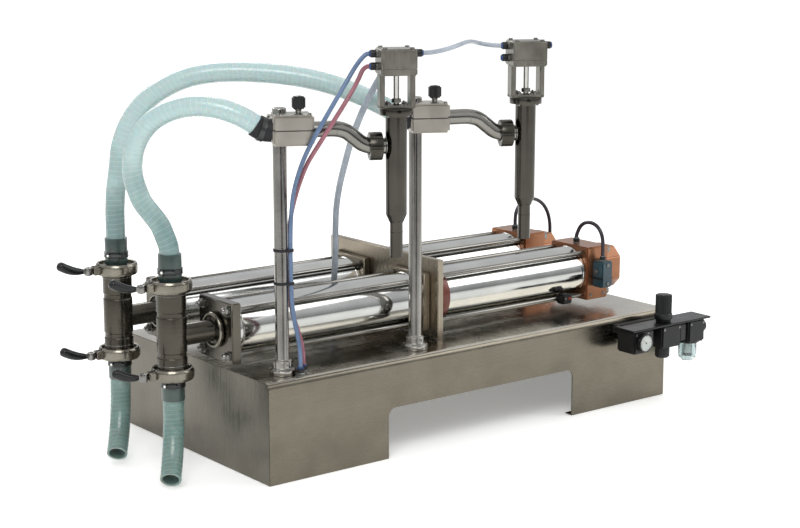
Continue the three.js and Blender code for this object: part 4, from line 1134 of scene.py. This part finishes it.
def post_clamp(side):
    body = block(-17, 56, -48, 18, -27, 27, 4, 4)
    post_bore = drill(POST_RADIUS + 0.3, 60, at(0, 0, -30), 48)
    pipe_bore = drill(14.3, 90, at(-25, PIPE_OFFSET, 0, "x"), 48)
    slots = [block(-1, 1, 5, 22, -30, 30, 0), block(-30, 60, -52, -38, -1.1, 1.1, 0)]
    relief = block(-40, 60, 6, 30, -12, 12, 2)
    piece = Piece(f"{side}_clamp_block", head_frame(side))
    piece.add(carved(body, post_bore, pipe_bore, *slots, relief), BLOCK_CAST)
    for x in (-7, 48):
        socket_screw(piece, at(x, -42, 26.6), 3.4, 3.6)
    for z in (-20, 20):
        socket_screw(piece, at(-16.8, 12.5, z, "-x"), 3.2, 3.4)
    piece.add(ring(8.4, 5.3, 2, 0.5, 32), FASTENER, at(30, PIPE_OFFSET, 26.2))
    piece.build(f"{side}_head", "cast_aluminium", f"{side}_post_clamp")


def clamp_knob(side):
    piece = Piece(f"{side}_knob_head", head_frame(side) @ at(30, PIPE_OFFSET, 27.3))
    piece.add(turned([(0, 0), (5, 0), (5, 6), (7.6, 10), (0, 10)], 0.5, 32), FASTENER)
    piece.add(prism(fluted(11, 1.6, 5, 90), 9, 31, 2.4, 4), BLACK)
    piece.add(lathe([(0, 30), (7, 30), (6.4, 31.4), (4, 32.2), (0, 32.5)], 32), BLACK_GLOSS)
    piece.build(f"{side}_knob", "black_plastic", f"{side}_clamp_knob")


def elbow_point(degrees, straight):
    """A point on the pipe's hose end, turned up from the pipe and then carried straight on."""
    start, radius = -20, 36
    a = math.radians(degrees)
    x = start - radius * math.sin(a) - straight * math.cos(a)
    return (x, PIPE_OFFSET, radius * (1 - math.cos(a)) + straight * math.sin(a))


ELBOW = [elbow_point(35, 6), elbow_point(35, 0), elbow_point(17.5, 0)]


def inlet(x):
    """A point on the axis of the nozzle's inlet, aimed along it."""
    return at(x, PIPE_OFFSET, level(INLET_Z), "x")


def product_pipe(side):
    dip = level(INLET_Z)
    run = [(x, PIPE_OFFSET, 0) for x in (-20, 20, 60, 96)]
    shares = ((113, 0.15), (128, 0.5), (143, 0.85), (160, 1), (165.7, 1))
    drop = [(x, PIPE_OFFSET, share * dip) for x, share in shares]
    piece = Piece(f"{side}_pipe_run", head_frame(side))
    piece.add(hollow_sweep(curve_through([*ELBOW, *run, *drop], 3), 14, 11, 40), STEEL_X)
    for x in (-20, 96):
        piece.add(torus(13.9, 0.7), STEEL_X, at(x, PIPE_OFFSET, 0, "x"))
    piece.build(f"{side}_head", "steel", f"{side}_product_pipe")


def nozzle(side):
    column = [(11.5, 0), (11.5, 3), (11.5, 62), (19, 78), (19, 250), (19, 255), (30, 255), (30, 266)]
    column += [(5.6, 266), (5.6, 255), (15.5, 251), (15.5, 80), (9.8, 64), (9.8, 10), (8.5, 8), (8.5, 0)]
    reach = at(REACH, PIPE_OFFSET, level(TIP_Z))
    way = drill(11, 30, inlet(166))
    piece = Piece(f"{side}_nozzle_tube", head_frame(side))
    piece.add(carved(placed(turned(column, 0.6, 64), reach), way), NOZZLE_STEEL)
    stub = ring(14, 11, REACH - 17.5 - 166, 0.2, 40)
    piece.add(stub, STEEL_X, inlet(166))
    notches = [drill(3.2, 30, at(*polar(26, 45 * i), -3), 20) for i in range(8)]
    # The union ring is painted dark steel: painted shade
    piece.add(carved(ring(25, 14.2, 23, 1.8, 64), *notches), UNION_STEEL_SHADED, inlet(154))
    piece.add(torus(14.6, 1.1), STEEL_X, inlet(REACH - 19))
    for z, radius in ((46, 11.5), (66, 13.4)):
        piece.add(torus(radius, 0.6), NOZZLE_STEEL, reach @ at(0, 0, z))
    for turn in QUARTERS:
        socket_screw(piece, reach @ at(*polar(25, turn), 255.2, "-z"), 2.6, 3)
    piece.build(f"{side}_head", "steel", f"{side}_nozzle_body")


def actuator(side):
    x, y, half = REACH, PIPE_OFFSET, 32
    foot = level(FLANGE_TOP) + GAP
    body = brick(x, y, half, half, level(YOKE_TOP), level(ACTUATOR_TOP), 2.2, 3)
    bore = drill(27, 31, at(x, y, level(YOKE_TOP) + 8), 48)
    way = drill(5.6, 20, at(x, y, level(YOKE_TOP) - 5))
    low, high, face = level(YOKE_TOP + 11), level(YOKE_TOP + 12.4), half - 0.9
    sides = [(-40, 40, -40, -face), (-40, -face, -40, 40), (face, 40, -40, 40), (-40, 40, face, 40)]
    split = [block(x + x0, x + x1, y + y0, y + y1, low, high, 0) for x0, x1, y0, y1 in sides]
    piece = Piece(f"{side}_actuator_block", head_frame(side)).add(carved(body, bore, way, *split), CAST)
    plate = brick(x, y, 31.5, 15, foot, foot + 5.7, 1)
    piece.add(carved(plate, drill(9, 20, at(x, y, foot - 5))), CAST)
    for rail in (x - 27, x + 27):
        piece.add(brick(rail, y, 4.5, 15, foot, level(YOKE_TOP) + 1, 1.4, 3), CAST)
    for dx, dy in CORNERS:
        socket_screw(piece, at(x + 24 * dx, y + 24 * dy, level(ACTUATOR_TOP) - 0.6), 4, 3.4)
        hex_head(piece, at(x + 15 * dx, y + 9 * dy, foot + 5.5), 7, 3, 4.6)
    ports = [(-half, 0, 762, "-x"), (-half, 0, 740, "-x"), (half, 0, 762, "x")]
    if side == "left":
        ports.append((0, half, 740, "y"))
    for dx, dy, z, aim in ports:
        push_fitting(piece, at(x + dx, y + dy, level(z), aim), 7, 16, "blue")
    piece.build(f"{side}_head", "cast_aluminium", f"{side}_actuator")


def shutoff_stem(side):
    profile = [(0, 1), (8.2, 1), (8.2, 7), (5, 12), (5, 339), (26.6, 339), (26.6, 349), (0, 349)]
    piece = Piece(f"{side}_stem_rod", head_frame(side) @ at(REACH, PIPE_OFFSET, level(TIP_Z)))
    piece.add(turned(profile, 0.4, 48), BRIGHT_Z)
    piece.add(prism(hexagon(15), 276, 283, 0.7), FASTENER)
    piece.build(f"{side}_stem", "polished_steel", f"{side}_shutoff_stem")


def filling_head(side):
    for make in (post, post_clamp, clamp_knob, product_pipe, nozzle, actuator, shutoff_stem):
        make(side)


# ---------------- air fittings on the drive side


def air_unit():
    y, top = AIR_Y, AIR_TOP
    piece = Piece("air_unit_body")
    for x, half in ((GAUGE_X, 22), (REGULATOR_X, 28), (BOWL_X, 24)):
        piece.add(brick(x, y, half, 26, 124, top, 3.4, 4), BLACK)
        for dx in (-1, 1):
            socket_screw(piece, at(x + dx * (half - 6), y - 25.6, top - 8, "-y"), 2.6, 1.4)
    for x in (890, 986):
        piece.add(brick(x, y, 9, 20, 131, 167, 2, 3), BLACK_GLOSS)
    piece.add(ring(13, 7, AIR_END - BOWL_X - 23, 1, 40), BLACK, at(BOWL_X + 23, y, 150, "x"))
    piece.add(block(832, AIR_END - 4, y - 28, y + 28, top - 1, top + 3, 1, 2), BLACK_GLOSS)
    piece.add(block(842, 990, y + 20, -0.3, 158, top + 3, 1.4, 2), BLACK)
    foot = turned([(0, 99), (12, 99), (15, 102), (15, 125), (0, 125)], 1, 40)
    piece.add(foot, BLACK, at(REGULATOR_X, y, 0))
    piece.add(ring(24, 20, 7, 1, 48), BLACK_GLOSS, at(BOWL_X, y, 121.4))
    piece.build("root", "black_plastic", "regulator_body")


def regulator_knob():
    piece = Piece("regulator_knob_grip", at(REGULATOR_X, AIR_Y, AIR_TOP + 3.3))
    piece.add(prism(fluted(16.6, 0.7, 24, 144), 14, 56, 2, 4), BLACK)
    piece.add(turned([(0, 0), (15.4, 0), (15.4, 5), (18.5, 6), (18.5, 16), (16.4, 18), (0, 18)], 0.7), BLACK)
    piece.add(lathe([(0, 55), (13, 55), (12, 57), (6, 58), (0, 58)], 40), BLACK_GLOSS)
    piece.add(block(-0.8, 0.8, 6, 13.5, 56.4, 58.4, 0.2), DIAL)
    piece.build("air_knob", "black_plastic", "regulator_knob")


def filter_bowl():
    wall = [(12, 82), (19, 90), (19, 123.7), (16.6, 123.7), (16.6, 91), (10.5, 84.6), (0, 84.6)]
    piece = Piece("filter_bowl_glass", at(BOWL_X, AIR_Y, 0))
    piece.add(turned([(0, 82), *wall], 0.9, 64), BOWL)
    piece.add(turned([(0, 97), (9, 97), (9, 122), (0, 122)], 1, 40), DIAL)
    piece.add(turned([(0, 92), (11, 92), (11, 94), (0, 94)], 0.4, 40), BLACK)
    for i in range(6):
        piece.add(block(17.6, 19.8, -1.1, 1.1, 92, 118, 0.7), BOWL, spin(60 * i + 10))
    piece.build("root", "clear_bowl", "filter_bowl")


def pressure_gauge():
    """A dial that looks to the front: case, face with its ticks, needle and window."""
    piece = Piece("pressure_gauge_case", at(GAUGE_X, AIR_Y - 26.3, 148, "-y"))
    case = [(0, 0), (17, 0), (19, 2.4), (19, 11), (18.2, 12), (16.6, 12), (16.4, 9.6), (0, 9.6)]
    piece.add(turned(case, 0.5, 64), BLACK_GLOSS)
    piece.add(turned([(0, 9.4), (16.3, 9.4), (16.3, 9.9), (0, 9.9)], 0.1, 64), DIAL)
    for i in range(31):
        start, half = (13.6, 0.13) if i % 5 else (12.2, 0.24)
        piece.add(block(start, 15.2, -half, half, 9.85, 10.05, 0), PRINT, spin(225 - 9 * i))
    needle = prism([(-3, -0.5), (11.5, -0.12), (11.5, 0.12), (-3, 0.5)], 10.2, 10.5, 0)
    piece.add(needle, NEEDLE, spin(140))
    piece.add(turned([(0, 10), (1.8, 10), (1.5, 11), (0, 11)], 0.2, 24), PRINT)
    piece.add(turned([(0, 11.3), (16.6, 11.3), (16.6, 11.9), (0, 12.2)], 0.1, 64), WINDOW)
    piece.build("root", "gauge_white", "pressure_gauge")


def speed_valve():
    piece = Piece("speed_valve_block")
    face = UNIT_Y["front"] - CAP / 2 - GAP
    piece.add(block(874, 904, face - 31, face, 235, 290, 2.6, 4), TEAL)
    piece.add(block(872.6, 905.4, face - 30, face - 1, 252, 256, 1, 2), BLACK)
    for z in (243, 282):
        socket_screw(piece, at(889, face - 30.8, z, "-y"), 3.4, 2.2)
    socket_screw(piece, at(874.2, face - 15, 268, "-x"), 5, 4)
    push_fitting(piece, at(889, 78, 289.5), 6.4, 10.5, "grey")
    piece.build("root", "teal_metal", "speed_valve")


def reed_switch():
    y, z = UNIT_Y["front"] - DRIVE_TIE, AXIS_Z - DRIVE_TIE
    body = block(786, 812, y - 20, y + 2, z - 10, z + 10, 2.4, 4)
    hook = drill(5.4, 60, at(770, y, z, "x"), 32)
    piece = Piece("reed_switch_body").add(carved(body, hook), BLACK)
    socket_screw(piece, at(793, y - 19.8, z + 2, "-y"), 2.2, 1.2)
    piece.add(block(801, 808, y - 20.4, y - 19, z - 1, z + 4, 0.4), NEEDLE)
    piece.build("position_switch", "black_plastic", "reed_switch")


# ---------------- the whole


# A sleeve's hose, bore, foot and top, and the height of its clip.
SLEEVES = [("outlet", 18.2, 364, 413, 382), ("suction", 19.2, 146, 189.5, 176)]


def sleeves():
    """Dark sleeves and clips that hold the product hoses on their spigots and pipes."""
    for side, y in UNIT_Y.items():
        for port, bore, low, high, clip in SLEEVES:
            grip = Piece(f"{side}_{port}_sleeve", at(VALVE_X, y, 0))
            grip.add(turned([(bore, low), (21, low), (21, high), (bore, high)], 1), HOSE_DARK)
            hose_clip(grip, at(0, 0, clip) @ spin(-125), 21.2)
            grip.build("root", "product_hose")
    for side in HEAD_X:
        path = curve_through([*ELBOW, (-17.3, PIPE_OFFSET, 0)], 3)
        grip = Piece(f"{side}_pipe_sleeve", head_frame(side)).add(hollow_sweep(path, 20.4, 14.2, 48), RUBBER)
        turn = (path[-1] - path[0]).to_track_quat("Z", "Y").to_matrix().to_4x4()
        hose_clip(grip, Matrix.Translation(path[len(path) // 2]) @ turn, 20.6)
        grip.build(f"{side}_head", "black_plastic")


make_camera()
make_hoses()
base_shell()
mid_plate()
for unit in UNIT_Y:
    metering_unit(unit)
for head in HEAD_X:
    filling_head(head)
for make in (air_unit, regulator_knob, filter_bowl, pressure_gauge, speed_valve, reed_switch):
    make()
tube_ties()
sleeves()
make_stage()
